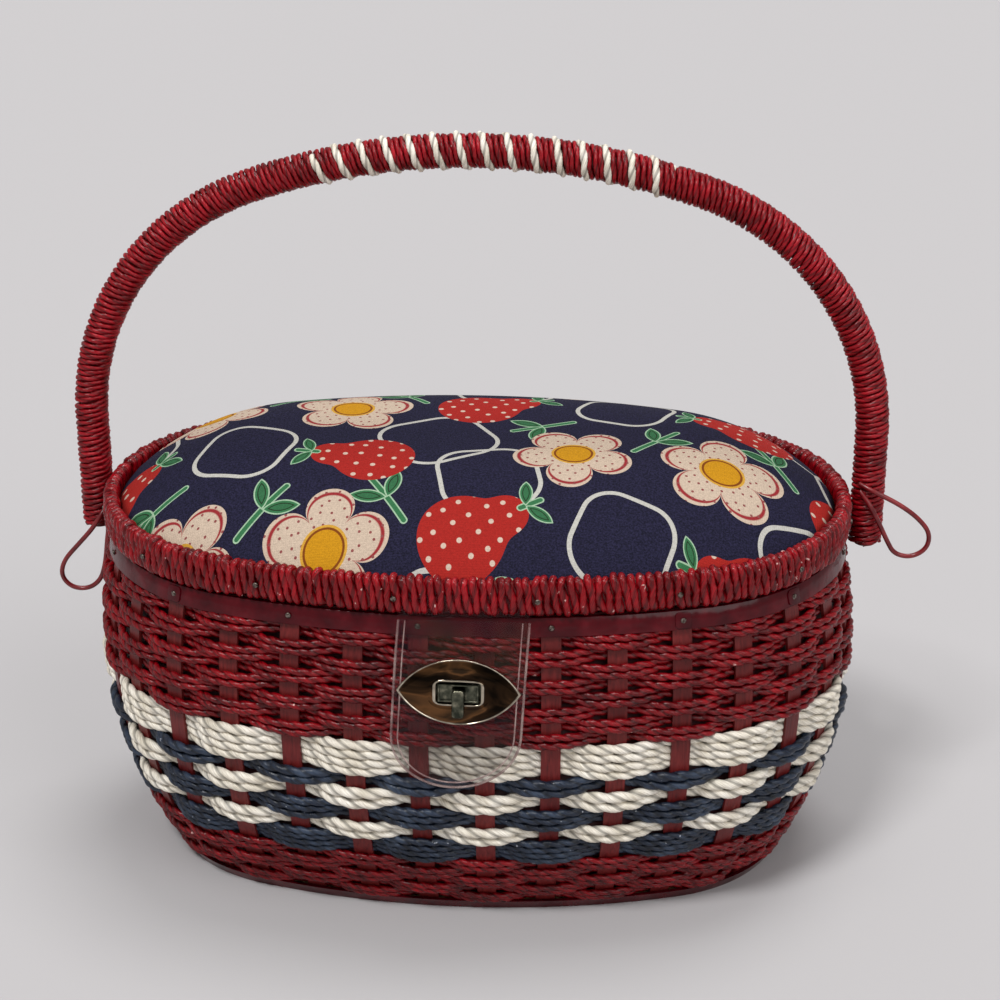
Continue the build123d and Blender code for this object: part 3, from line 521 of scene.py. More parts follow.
band_spline.use_cyclic_u = True
band_section = bpy.data.objects.new("rim_band_section", band_curve)
bpy.context.scene.collection.objects.link(band_section)
path_curve = bpy.data.curves.new("rim_band_strip", "CURVE")
path_curve.dimensions = "3D"
path_curve.bevel_mode = "OBJECT"
path_curve.bevel_object = band_section
path_curve.twist_mode = "Z_UP"
path_spline = path_curve.splines.new("POLY")
band_steps = np.linspace(0, outline_length, 480, endpoint=False)
band_path = on_outline(
    band_steps, wall_out(band_middle) + band_outer - half_thick, band_middle
)
path_spline.points.add(len(band_path) - 1)
path_spline.points.foreach_set(
    "co", np.column_stack([band_path, np.ones(len(band_path))]).ravel()
)
path_spline.use_cyclic_u = True
rim_band = bpy.data.objects.new("rim_band_strip", path_curve)
bpy.context.scene.collection.objects.link(rim_band)
select_only(rim_band)
bpy.ops.object.convert(target="MESH")
rim_band = bpy.context.object
bpy.data.objects.remove(band_section)


def face_out(distance, out, z):
    """Placing on the outline: X along it, Y up the wall, Z outwards."""
    point, ahead = on_outline([distance, distance + 0.1 * MM], [0.0, 0.0], [0.0, 0.0])
    along = Vector(ahead - point).normalized()
    outward = Vector((along.y, -along.x, 0.0))
    place = Vector(point) + outward * out + Vector((0, 0, z))
    turned = Matrix((along, Vector((0, 0, 1)), outward)).transposed().to_4x4()
    return Matrix.Translation(place) @ turned @ Matrix.Rotation(-band_slope, 4, "X")


boss_size, boss_rise = 6.2 * MM, 1.2 * MM
stake_spots = [first_stake + outline_length * k / stake_count for k in range(stake_count)]
bpy.ops.mesh.primitive_cylinder_add(vertices=32, radius=1.0, depth=boss_rise)
boss = bpy.context.object
for vertex in boss.data.vertices:
    angle = math.atan2(vertex.co.y, vertex.co.x)
    for axis, part in ((0, math.cos(angle)), (1, math.sin(angle))):
        vertex.co[axis] = boss_size / 2 * math.copysign(abs(part) ** 0.45, part)
for polygon in boss.data.polygons:
    polygon.select = polygon.normal.z > 0.9
bpy.ops.object.mode_set(mode="EDIT")
bpy.ops.mesh.select_mode(type="FACE")
bpy.ops.mesh.inset(thickness=1.0 * MM, depth=0.0)
bpy.ops.mesh.extrude_region_move(TRANSFORM_OT_translate={"value": (0, 0, -0.5 * MM)})
bpy.ops.object.mode_set(mode="OBJECT")
soften = boss.modifiers.new("edges", "BEVEL")
soften.width = 0.14 * MM
soften.segments = 2
bpy.ops.object.modifier_apply(modifier="edges")
bosses = []
for spot in stake_spots[1::2]:
    x, y, _ = on_outline(spot, 0.0, 0.0)
    if y > -0.03 or abs(x) > 0.14 or -0.1 < x < 0.06:
        continue
    copied = boss.copy()
    copied.data = boss.data.copy()
    bpy.context.scene.collection.objects.link(copied)
    copied.data.transform(
        face_out(spot, wall_out(band_middle) + band_outer, band_middle)
    )
    bosses.append(copied)
bpy.data.objects.remove(boss)
select_only(rim_band, *bosses)
bpy.ops.object.join()
dress(rim_band, strip_lacquer, "basket")
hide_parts("outer_rim_band")
bpy.ops.object.shade_smooth_by_angle(angle=math.radians(40))

# Nails: cut steel with small domed heads, gone dull. They hold the band and the winding. The
# handle's pins and washers are of the same steel.
dull_steel = new_material("dull_steel", "#5d5450", 0.38, Metallic=1.0)
place = add(dull_steel, "ShaderNodeTexCoord", take="Object")
rust = add(dull_steel, "ShaderNodeTexNoise", {"Vector": place, "Scale": 1 / (0.8 * MM)})
add(
    dull_steel, "ShaderNodeValToRGB", {"Fac": rust}, to="Base Color",
    stops=[(0.35, "#33261f"), (0.65, "#8a8078")],
)
for name in (
    "rim_nails", "lid_nails", "hinge_nails_lower", "hinge_nails_upper", "pivot_pins",
    "pivot_washers",
):
    dress(nodes[name], dull_steel)


# Handle winding: the bent rod is wound closely with thin red cord from end to end. The rod has
# two straight legs, two shoulders and a flatter crown.
handle_radius = 7.0 * MM
handle_bottom = rim_z - 11.6 * MM
leg_top = rim_z + 36.495 * MM
handle_top = rim_z + 150 * MM
shoulder_radius = 104 * MM
crown_run = handle_span * MM - shoulder_radius
crown_drop = handle_top - leg_top
crown_radius = (crown_run**2 + crown_drop**2 - shoulder_radius**2) / (
    2 * (crown_drop - shoulder_radius)
)
crown_centre = handle_top - crown_radius
crown_angle = math.atan2(crown_run, leg_top - crown_centre)
leg_length = leg_top - handle_bottom
shoulder_length = shoulder_radius * (math.pi / 2 - crown_angle)
crown_length = 2 * crown_radius * crown_angle
handle_length = 2 * leg_length + 2 * shoulder_length + crown_length


def on_handle(distance):
    """Centreline points and outward directions of the handle, from its left end."""
    distance = np.asarray(distance, float)
    half = handle_length / 2
    away = half - np.abs(distance - half)
    side = np.where(distance < half, -1.0, 1.0)
    x, z = np.empty_like(away), np.empty_like(away)
    nx, nz = np.empty_like(away), np.empty_like(away)
    leg = away <= leg_length
    x[leg], z[leg] = handle_span * MM, handle_bottom + away[leg]
    nx[leg], nz[leg] = 1.0, 0.0
    bend = (away > leg_length) & (away <= leg_length + shoulder_length)
    angle = math.pi / 2 - (away[bend] - leg_length) / shoulder_radius
    nx[bend], nz[bend] = np.sin(angle), np.cos(angle)
    x[bend] = crown_run + shoulder_radius * nx[bend]
    z[bend] = leg_top + shoulder_radius * nz[bend]
    crown = away > leg_length + shoulder_length
    angle = crown_angle - (away[crown] - leg_length - shoulder_length) / crown_radius
    nx[crown], nz[crown] = np.sin(angle), np.cos(angle)
    x[crown] = crown_radius * nx[crown]
    z[crown] = crown_centre + crown_radius * nz[crown]
    level = np.full_like(x, pivot_back * MM)
    return (
        np.column_stack([side * x, level, z]),
        np.column_stack([side * nx, np.zeros_like(x), nz]),
    )


def handle_turns(start, end, lead, radius, spin, steps):
    """Helix wound on the handle between two distances, from a spin measured from outwards."""
    turns = (end - start) / lead
    distance = np.linspace(start, end, int(turns * steps) + 1)
    wander = 0.16 * MM * np.interp(distance, wander_places, rng.normal(size=len(wander_places)))
    centre, outward = on_handle(np.clip(distance + wander, 0, handle_length))
    angle = (2 * math.pi * (distance - start) / lead + spin)[:, None]
    across = np.array([0.0, -1.0, 0.0])
    radius = np.broadcast_to(radius, distance.shape)[:, None]
    return centre + radius * (np.cos(angle) * outward + np.sin(angle) * across)


# Four cords are wound side by side. Over the crown a white one takes the place of one of them.
white_turns = 15
red_steps, white_steps = 22, 32
lead = 9.44 * MM
white_start = handle_length / 2 + 6.4 * MM - white_turns / 2 * lead
white_end = white_start + white_turns * lead
wander_places = np.arange(0, handle_length + 4 * MM, 4 * MM)
red_turn_radius = 1.24 * MM
first, last = 1.3 * MM, handle_length - 1.3 * MM
red_runs = [(first, last, k / 4) for k in (1, 2, 3)]
red_runs += [(first, white_start - 0.4 * MM, 0.0), (white_end + 0.4 * MM, last, 0.0)]
handle_cord = laid_cords(
    "handle_red_winding",
    [
        handle_turns(
            start, end, lead, handle_radius - red_turn_radius,
            2 * math.pi * ((start - white_start) / lead + start_spin), red_steps,
        )
        for start, end, start_spin in red_runs
    ],
    red_turn_radius, 15.0 * MM, False, "MINIMUM", 0.74,
)
handle_red = cord_finish(
    "red_lacquered_handle_cord", "#78000b", "#980414", "#b01222", 0.3, 0.32, "#787878",
    "#dcb1aa", 0.755,
)
dress(handle_cord, handle_red, "handle")
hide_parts("handle_winding")

# White winding: fifteen turns of white cord over the crown, with the finish of the white rows.
# Its ends are tucked under the red within a fifth of a turn.
white_point = np.arange(white_turns * white_steps + 1)
from_end = np.minimum(white_point, white_point[::-1]) / white_steps
tuck = 2.4 * MM * np.clip(1 - from_end / 0.2, 0, 1)
white_wound = laid_cords(
    "handle_white_winding_cord",
    [
        handle_turns(
            white_start, white_end, lead, handle_radius - 0.75 * MM - tuck, 0.0, white_steps
        )
    ],
    1.6 * MM, 14.0 * MM, False, "MINIMUM", 0.72,
)
dress(white_wound, white_cord, "handle")
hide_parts("handle_white_winding")


# Lid rim: a bent hoop wound closely with red cord. Each turn lies flat against the hoop, bulges
# where it crosses the edges, and leans a little.
wrap_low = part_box("lid_rim_wrap")[0].z
wrap_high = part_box("lid_rim_wrap")[1].z
wrap_width = 6.4 * MM
wrap_turns = 243
wrap_cord_radius = 1.88 * MM
wrap_steps = 24
wrap_point = np.arange(wrap_turns * wrap_steps)
wrap_turn = wrap_point // wrap_steps
spin = 2 * math.pi * (wrap_point % wrap_steps) / wrap_steps
half_height = (wrap_high - wrap_low) / 2 - wrap_cord_radius * 0.95
half_across = wrap_width / 2 - wrap_cord_radius * 0.85
across = half_across * np.sign(np.cos(spin)) * np.abs(np.cos(spin)) ** 0.5
upward = -half_height * np.sign(np.sin(spin)) * np.abs(np.sin(spin)) ** 0.6
lean = rng.normal(0, 0.34, wrap_turns)[wrap_turn] * MM
bulge = rng.normal(0, 0.16, wrap_turns)[wrap_turn] * MM
shift = rng.normal(0, 0.2, wrap_turns)[wrap_turn] * MM
wave = rng.uniform(0.1, 0.6, wrap_turns)[wrap_turn] * MM
turn_phase = rng.uniform(-0.8, 0.8, wrap_turns)[wrap_turn]
distance = (
    outline_length * wrap_point / len(wrap_point)
    - upward * 0.05
    + lean * np.sin(spin)
    + shift * np.cos(spin)
    + wave * np.sin(2 * spin + turn_phase)
)
wrap_path = on_outline(
    distance, across * (1 + bulge / half_across) - wrap_width / 2,
    (wrap_low + wrap_high) / 2 + upward * (1 + 0.4 * bulge / half_across),
)
rim_cord = laid_cords(
    "lid_rim_winding", [wrap_path], wrap_cord_radius, 20 * MM, True, "MINIMUM", 0.76
)
rim_red = cord_finish(
    "red_lacquered_rim_cord", "#6c0009", "#8a000d", "#a30818", 0.24, 0.34, "#787878",
    "#dcb1aa", 0.71,
)
dress(rim_cord, rim_red, "lid")
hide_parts("lid_rim_wrap")


# Lid pad and cover: a foam crown on the lid's board, and printed cotton drawn tight over it and
# tucked in along the wound rim, where the pull leaves faint puckers.
cover_side_z = 149.4 * MM
crown_rise = 29.0 * MM
crown_reach = 72.0 * MM
cover_out = -6.5 * MM


def inward(x, y):
    """Offset of points from the outline, negative inside it."""
    at_end = (np.abs(x) > end_shift) & (
        np.abs(y) < (np.abs(x) - end_shift) * math.tan(end_angle)
    )
    to_end = np.hypot(np.abs(x) - end_shift, y) - end_radius
    to_side = np.hypot(x, np.abs(y) + side_drop) - side_radius
    return np.where(at_end, to_end, to_side)


def crown_height(out, edge_out, side_z):
    """Height of the crown's arc at offsets from the outline, level at its reach."""
    run, rise = crown_reach + edge_out, crown_rise
    radius = (run**2 + rise**2) / (2 * rise)
    away = np.clip(out + crown_reach, 0, run)
    return side_z + rise - radius + np.sqrt(radius**2 - away**2)


def oval_cushion(name, edge_out, rings, segments):
    """Closed oval form from a sphere: its ring numbers, ring angles and outline distances."""
    bpy.ops.mesh.primitive_uv_sphere_add(segments=segments, ring_count=rings, radius=1.0)
    piece = bpy.context.object
    piece.name = piece.data.name = name
    points = np.empty(len(piece.data.vertices) * 3)
    piece.data.vertices.foreach_get("co", points)
    points = points.reshape(-1, 3)
    around = np.arctan2(points[:, 1], points[:, 0])
    distance = (around / (2 * math.pi) * outline_length + outline_length / 4) % outline_length
    reach = np.arccos(np.clip(np.abs(points[:, 2]), 0, 1)) / (math.pi / 2)
    edge = on_outline(distance, edge_out, 0.0)
    return piece, edge[:, :2] * reach[:, None], points[:, 2] >= -1e-6, reach, distance


def edit_faces(piece, wanted):
    """Goes into edit mode with only the wanted faces of the active piece selected."""
    bpy.ops.object.mode_set(mode="EDIT")
    bpy.ops.mesh.select_mode(type="FACE")
    bpy.ops.mesh.select_all(action="DESELECT")
    bpy.ops.object.mode_set(mode="OBJECT")
    for polygon in piece.data.polygons:
        polygon.select = wanted(polygon)
    bpy.ops.object.mode_set(mode="EDIT")


def reshape(piece, x, y, z):
    """Moves a piece's vertices to new places and smooths its shading."""
    piece.data.vertices.foreach_set("co", np.column_stack([x, y, z]).ravel())
    piece.data.update()
    piece.data.polygons.foreach_set("use_smooth", np.ones(len(piece.data.polygons), bool))
    return piece


foam_out = cover_out - 0.9 * MM
lid_pad, flat, upper, _, _ = oval_cushion("lid_foam_pad", foam_out, 48, 160)
pad_out = inward(flat[:, 0], flat[:, 1])
pad_top = crown_height(pad_out, foam_out, cover_side_z - 0.9 * MM)
pad_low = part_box("lid_padding")[0].z
reshape(lid_pad, flat[:, 0], flat[:, 1], np.where(upper, pad_top, pad_low + 0.2 * MM))
foam = new_material("latex_foam", "#e4dcc8", 0.9, Specular_IOR_Level=0.2)
place = add(foam, "ShaderNodeTexCoord", take="Object")
cells = add(foam, "ShaderNodeTexVoronoi", {"Vector": place, "Scale": 1 / (1.2 * MM)})
add(
    foam, "ShaderNodeValToRGB", {"Fac": cells}, to="Base Color",
    stops=[(0.2, "#c9bfa6"), (0.6, "#ece5d4")],
)
add(foam, "ShaderNodeBump", {"Height": cells, "Distance": 0.2 * MM}, to="Normal")
dress(lid_pad, foam, "lid")
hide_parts("lid_padding")

cover_thickness = 0.5 * MM
cover, flat, upper, reach, distance = oval_cushion("lid_printed_cover", cover_out, 96, 256)
cover_from = inward(flat[:, 0], flat[:, 1])
cover_top = crown_height(cover_from, cover_out, cover_side_z)
near_edge = np.exp((cover_from - cover_out) / (9 * MM))
pucker = sum(
    rng.uniform(0.4, 1.0)
    * np.sin(k * 2 * math.pi * distance / outline_length + rng.uniform(0, 6.28))
    for k in (31, 44, 57, 73)
)
cover_top += (0.16 * MM * pucker * near_edge + 0.9 * MM * near_edge) * np.clip(
    (cover_out - cover_from) / (2 * MM), 0, 1
)
board_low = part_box("lid_cover")[0].z
side_share = (1 - reach) / 0.07
under = np.where(
    reach > 0.93, cover_side_z - side_share * (cover_side_z - board_low), board_low
)
reshape(cover, flat[:, 0], flat[:, 1], np.where(upper, cover_top, under))
# The sphere's underside goes, and the side stays as the cloth's edge round the board.
edit_faces(cover, lambda polygon: polygon.center.z < board_low + 0.2 * MM)
bpy.ops.mesh.delete(type="FACE")
bpy.ops.object.mode_set(mode="OBJECT")
thicken = cover.modifiers.new("cloth", "SOLIDIFY")
thicken.thickness = cover_thickness
thicken.offset = -1.0
bpy.ops.object.modifier_apply(modifier="cloth")

# Printed cotton: plain weave, matt. The print repeats every 150 by 96 mm with a half drop, in
# inks laid over a navy ground: cream blossoms, red pears with cream dots, leaves and lozenges.
cotton = new_material("printed_cotton", "#1d1c33", 0.85, Specular_IOR_Level=0.15)
place = add(cotton, "ShaderNodeTexCoord", take="Object")
in_mm = add(cotton, "ShaderNodeVectorMath", {0: place, "Scale": 1000.0}, operation="SCALE")
repeat_x, repeat_y = 150.0, 96.0


def printed_at(x, y, turn):
    """Coordinates in millimetres about the nearest repeat of a motif, turned with it."""
    moved = add(cotton, "ShaderNodeVectorMath", {0: in_mm, 1: (x, y, 0)}, operation="SUBTRACT")
    limits = {1: (repeat_x / 2, 1e4, 1e4), 2: (-repeat_x / 2, -1e4, -1e4)}
    column = add(cotton, "ShaderNodeVectorMath", {0: moved, **limits}, operation="WRAP")
    behind = add(cotton, "ShaderNodeVectorMath", {0: moved, 1: column}, operation="SUBTRACT")
    drop = add(
        cotton, "ShaderNodeVectorMath", {0: behind, 1: (repeat_y / 2 / repeat_x, 0, 0)},
        take="Value", operation="DOT_PRODUCT",
    )
    drop = add(cotton, "ShaderNodeCombineXYZ", {"Y": drop})
    dropped = add(cotton, "ShaderNodeVectorMath", {0: column, 1: drop}, operation="SUBTRACT")
    limits = {1: (1e4, repeat_y / 2, 1e4), 2: (-1e4, -repeat_y / 2, -1e4)}
    here = add(cotton, "ShaderNodeVectorMath", {0: dropped, **limits}, operation="WRAP")
    flat = add(cotton, "ShaderNodeVectorMath", {0: here, 1: (1, 1, 0)}, operation="MULTIPLY")
    return add(
        cotton, "ShaderNodeVectorRotate", {"Vector": flat, "Angle": math.radians(-turn)},
        rotation_type="Z_AXIS",
    )


def inked(below, mask, ink):
    """Lays one ink over what is printed already, where the mask is 1."""
    return add(cotton, "ShaderNodeMix", {0: mask, 6: below, 7: ink}, take=2, data_type="RGBA")


def lozenge(below, x, y, turn, size):
    """Outline of a rounded lozenge, 1.8 mm wide, in cream."""
    here = printed_at(x, y, turn)
    folded = add(cotton, "ShaderNodeVectorMath", {0: here}, operation="ABSOLUTE")
    corner = add(
        cotton, "ShaderNodeVectorMath", {0: folded, 1: (size * 0.35, size * 0.35, 0)},
        operation="SUBTRACT",
    )
    corner = add(cotton, "ShaderNodeVectorMath", {0: corner, 1: (0, 0, 0)}, operation="MAXIMUM")
    away = add(
        cotton, "ShaderNodeVectorMath", {0: corner}, take="Value", operation="LENGTH"
    )
    line = add(cotton, "ShaderNodeMath", {0: away, 1: size * 0.65, 2: 0.9}, operation="COMPARE")
    return inked(below, line, linear("#bcbab2"))


def leaf_ink(below, here, length, width):
    """A green leaf with a pale edge and a dark inner line, its tip along Y."""
    radius = (length**2 / 4 + width**2 / 4) / width
    folded = add(cotton, "ShaderNodeVectorMath", {0: here}, operation="ABSOLUTE")
    moved = add(
        cotton, "ShaderNodeVectorMath", {0: folded, 1: (radius - width / 2, 0, 0)}, operation="ADD"
    )
    away = add(cotton, "ShaderNodeVectorMath", {0: moved}, take="Value", operation="LENGTH")
    share = add(
        cotton, "ShaderNodeMapRange", {0: away, 1: radius - width / 2, 2: radius}, clamp=False
    )
    ink = add(
        cotton, "ShaderNodeValToRGB", {"Fac": share},
        stops=[
            (0.0, "#336844"), (0.38, "#336844"), (0.42, "#20321f"), (0.52, "#20321f"),
            (0.56, "#356f47"), (0.8, "#356f47"), (0.84, "#9dbb9c"),
        ],
    )
    inside = add(cotton, "ShaderNodeMath", {0: share, 1: 1.0}, operation="LESS_THAN")
    return inked(below, inside, ink)


def sprig(below, here, stem, leaf, spread, rise):
    """A stem along Y and a pair of leaves, one the other's mirror image."""
    folded = add(cotton, "ShaderNodeVectorMath", {0: here}, operation="ABSOLUTE")
    thin = add(
        cotton, "ShaderNodeVectorMath", {0: folded, 1: (0.0, stem / 2, 0)}, operation="SUBTRACT"
    )
    thin = add(cotton, "ShaderNodeVectorMath", {0: thin, 1: (0, 0, 0)}, operation="MAXIMUM")
    away = add(cotton, "ShaderNodeVectorMath", {0: thin}, take="Value", operation="LENGTH")
    ink = add(
        cotton, "ShaderNodeValToRGB", {"Fac": away}, stops=[(0.9, "#356f47"), (0.95, "#9dbb9c")]
    )
    line = add(cotton, "ShaderNodeMath", {0: away, 1: 1.5}, operation="LESS_THAN")
    below = inked(below, line, ink)
    split = add(cotton, "ShaderNodeSeparateXYZ", {0: here}, take="X")
    split = add(cotton, "ShaderNodeMath", {0: split}, operation="ABSOLUTE")
    tall = add(cotton, "ShaderNodeSeparateXYZ", {0: here}, take="Y")
    pair = add(cotton, "ShaderNodeCombineXYZ", {"X": split, "Y": tall})
    turned = add(
        cotton, "ShaderNodeVectorMath",
        {0: pair, 1: (leaf * 0.5 * math.sin(spread), rise + leaf * 0.5 * math.cos(spread), 0)},
        operation="SUBTRACT",
    )
    turned = add(
        cotton, "ShaderNodeVectorRotate", {"Vector": turned, "Angle": spread},
        rotation_type="Z_AXIS",
    )
    return leaf_ink(below, turned, leaf, leaf * 0.42)


def pear(below, x, y, turn, size):
    """A red pear with cream dots, under a pair of leaves."""
    here = printed_at(x, y, turn)
    belly = add(
        cotton, "ShaderNodeVectorMath", {0: here, 1: (0, -0.28 * size, 0)}, take="Value",
        operation="DISTANCE",
    )
    belly = add(cotton, "ShaderNodeMath", {0: belly, 1: size}, operation="SUBTRACT")
    neck = add(
        cotton, "ShaderNodeVectorMath", {0: here, 1: (0, 0.8 * size, 0)}, take="Value",
        operation="DISTANCE",
    )
    neck = add(cotton, "ShaderNodeMath", {0: neck, 1: size * 0.52}, operation="SUBTRACT")
    edge = add(
        cotton, "ShaderNodeMath", {0: belly, 1: neck, 2: size * 0.45}, operation="SMOOTH_MIN"
    )
    dots = add(
        cotton, "ShaderNodeTexVoronoi", {"Vector": here, "Scale": 1 / 7.0, "Randomness": 0.3},
        take="Distance", voronoi_dimensions="2D",
    )
    ink = add(
        cotton, "ShaderNodeValToRGB", {"Fac": dots}, stops=[(0.13, "#cdb7a6"), (0.16, "#a2231d")]
    )
    inside = add(cotton, "ShaderNodeMath", {0: edge, 1: 0.0}, operation="LESS_THAN")
    below = inked(below, inside, ink)
    top = add(
        cotton, "ShaderNodeVectorMath", {0: here, 1: (0, 1.42 * size, 0)}, operation="SUBTRACT"
    )
    return sprig(below, top, size * 0.5, size * 0.75, math.radians(62), -size * 0.12)


def blossom(below, x, y, turn, size):
    """A five-petalled blossom in cream with red stitches and a yellow eye."""
    here = printed_at(x, y, turn)
    far = add(cotton, "ShaderNodeVectorMath", {0: here}, take="Value", operation="LENGTH")
    across = add(cotton, "ShaderNodeSeparateXYZ", {0: here}, take="X")
    along = add(cotton, "ShaderNodeSeparateXYZ", {0: here}, take="Y")
    way = add(cotton, "ShaderNodeMath", {0: along, 1: across}, operation="ARCTAN2")
    way = add(cotton, "ShaderNodeMath", {0: way, 1: 2.5}, operation="MULTIPLY")
    way = add(cotton, "ShaderNodeMath", {0: way}, operation="COSINE")
    way = add(cotton, "ShaderNodeMath", {0: way}, operation="ABSOLUTE")
    way = add(cotton, "ShaderNodeMath", {0: way, 1: 0.55}, operation="POWER")
    petal = add(
        cotton, "ShaderNodeMath", {0: way, 1: 0.48 * size, 2: 0.52 * size},
        operation="MULTIPLY_ADD",
    )
    share = add(cotton, "ShaderNodeMath", {0: far, 1: petal}, operation="DIVIDE")
    ink = add(
        cotton, "ShaderNodeValToRGB", {"Fac": share},
        stops=[
            (0.0, "#c6b29e"), (0.86, "#c6b29e"), (0.88, "#93292e"), (0.92, "#93292e"),
            (0.94, "#c6b29e"),
        ],
    )
    stitches = add(
        cotton, "ShaderNodeTexVoronoi", {"Vector": here, "Scale": 1 / 4.2, "Randomness": 0.5},
        take="Distance", voronoi_dimensions="2D",
    )
    spot = add(cotton, "ShaderNodeMath", {0: stitches, 1: 0.13}, operation="LESS_THAN")
    ink = inked(ink, spot, linear("#8a4a48"))
    heart = add(cotton, "ShaderNodeMath", {0: far, 1: size * 0.36}, operation="DIVIDE")
    eye = add(
        cotton, "ShaderNodeValToRGB", {"Fac": heart},
        stops=[
            (0.0, "#c38a14"), (0.78, "#c38a14"), (0.8, "#7c3f0f"), (0.88, "#7c3f0f"),
            (0.9, "#cb9a38"),
        ],
    )
    middle = add(cotton, "ShaderNodeMath", {0: heart, 1: 1.0}, operation="LESS_THAN")
    ink = inked(ink, middle, eye)
    inside = add(cotton, "ShaderNodeMath", {0: share, 1: 1.0}, operation="LESS_THAN")
    return inked(below, inside, ink)


thread = add(cotton, "ShaderNodeTexNoise", {"Vector": place, "Scale": 1 / (0.7 * MM), "Detail": 2})
printed = add(
    cotton, "ShaderNodeValToRGB", {"Fac": thread}, stops=[(0.35, "#141326"), (0.65, "#25233d")]
)
for x, y, turn, size in ((-14, -12, 30, 21), (60, 27, 70, 18), (8, -42, 12, 19)):
    printed = lozenge(printed, x, y, turn, size)
for x, y, turn in ((27, 4, 115), (-30, 40, 35), (72, -10, -40)):
    printed = sprig(printed, printed_at(x, y, turn), 26.0, 15.0, math.radians(48), 0.0)
for x, y, turn, size in ((-52, 20, 15, 25), (40, -24, 50, 24)):
    printed = blossom(printed, x, y, turn, size)
for x, y, turn, size in ((4, 26, -60, 17), (-42, -30, 80, 16)):
    printed = pear(printed, x, y, turn, size)
faded = add(
    cotton, "ShaderNodeValToRGB", {"Fac": thread}, stops=[(0.3, "#d2d2d2"), (0.7, "#ffffff")]
)
add(
    cotton, "ShaderNodeMix", {0: 0.7, 6: printed, 7: faded}, take=2, to="Base Color",
    data_type="RGBA", blend_type="MULTIPLY",
)
# The threads are 0.3 mm apart, too fine to show, so the weave is drawn at 0.8 mm.
thread_scale = math.pi / 10 / (0.8 * MM)
weft = add(
    cotton, "ShaderNodeTexWave", {"Vector": place, "Scale": thread_scale}, take="Fac",
    bands_direction="X",
)
warp = add(
    cotton, "ShaderNodeTexWave", {"Vector": place, "Scale": thread_scale}, take="Fac",
    bands_direction="Y",
)
cloth = add(cotton, "ShaderNodeMath", {0: weft, 1: warp}, operation="MULTIPLY")
add(cotton, "ShaderNodeBump", {"Height": cloth, "Distance": 0.08 * MM}, to="Normal")
dress(cover, cotton, "lid")
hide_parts("lid_cover")


# Linings: thin red satin over card. The wall's is gathered round it, the floor's lies flat, and
# the lid's is quilted in lozenges.
# The satin's red is darkened as painted shade, so the holes of the weave read dark.
shade_darkened_satin = new_material("red_satin_painted_shade", "#4c0910", 0.45, Sheen_Weight=0.2)
place = add(shade_darkened_satin, "ShaderNodeTexCoord", take="Object")
slub = add(shade_darkened_satin, "ShaderNodeTexNoise", {"Vector": place, "Scale": 1 / (14 * MM)})
add(
    shade_darkened_satin, "ShaderNodeValToRGB", {"Fac": slub}, to="Base Color",
    stops=[(0.3, "#3c060c"), (0.7, "#5c0f18")],
)
add(shade_darkened_satin, "ShaderNodeBump", {"Height": slub, "Distance": 0.3 * MM}, to="Normal")

lining_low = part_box("wall_lining")[0].z
lining_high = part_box("wall_lining")[1].z
lining_columns, lining_rows, gather_count = 640, 12, 66
bpy.ops.mesh.primitive_grid_add(x_subdivisions=lining_columns, y_subdivisions=lining_rows, size=1)
wall_cloth = bpy.context.object
wall_cloth.name = wall_cloth.data.name = "wall_lining_cloth"
grid = np.empty(len(wall_cloth.data.vertices) * 3)
wall_cloth.data.vertices.foreach_get("co", grid)
grid = grid.reshape(-1, 3)
distance = (grid[:, 0] + 0.5) * outline_length
height = lining_low + (grid[:, 1] + 0.5) * (lining_high - lining_low)
gather = 0.22 * MM * np.sin(2 * math.pi * gather_count * distance / outline_length)
lining_points = on_outline(distance, wall_out(height, -8.7 * MM) + gather, height)
reshape(wall_cloth, *lining_points.T)
bpy.ops.object.mode_set(mode="EDIT")
bpy.ops.mesh.select_all(action="SELECT")
bpy.ops.mesh.remove_doubles(threshold=0.01 * MM)
bpy.ops.object.mode_set(mode="OBJECT")
thicken = wall_cloth.modifiers.new("cloth", "SOLIDIFY")
thicken.thickness = 0.5 * MM
thicken.offset = 0.0
bpy.ops.object.modifier_apply(modifier="cloth")
dress(wall_cloth, shade_darkened_satin, "basket")
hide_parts("wall_lining")

floor_low, floor_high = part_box("floor_lining")[0].z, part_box("floor_lining")[1].z
floor_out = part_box("floor_lining")[1].x - half_length
floor_cloth, flat, upper, reach, _ = oval_cushion("floor_lining_cloth", floor_out, 16, 128)
reshape(
    floor_cloth, flat[:, 0], flat[:, 1],
    np.where(upper, floor_high - 0.5 * MM * reach**6, floor_low + 0.02 * MM),
)
dress(floor_cloth, shade_darkened_satin, "basket")
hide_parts("floor_lining")

lid_low, lid_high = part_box("lid_lining")[0].z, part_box("lid_lining")[1].z
lid_cloth, flat, upper, reach, _ = oval_cushion("lid_lining_cloth", cover_out, 80, 224)
quilt_step = 30 * MM
quilt = np.minimum(
    np.abs(np.sin(math.pi * (flat[:, 0] + flat[:, 1]) / quilt_step)),
    np.abs(np.sin(math.pi * (flat[:, 0] - flat[:, 1]) / quilt_step)),
)
puff = 1.1 * MM * (1 - np.sqrt(quilt)) * np.clip((1 - reach) / 0.05, 0, 1)
reshape(
    lid_cloth, flat[:, 0], flat[:, 1],
    np.where(upper, lid_high - 0.05 * MM, lid_low + puff + 0.05 * MM),
)
dress(lid_cloth, shade_darkened_satin, "lid")
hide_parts("lid_lining")


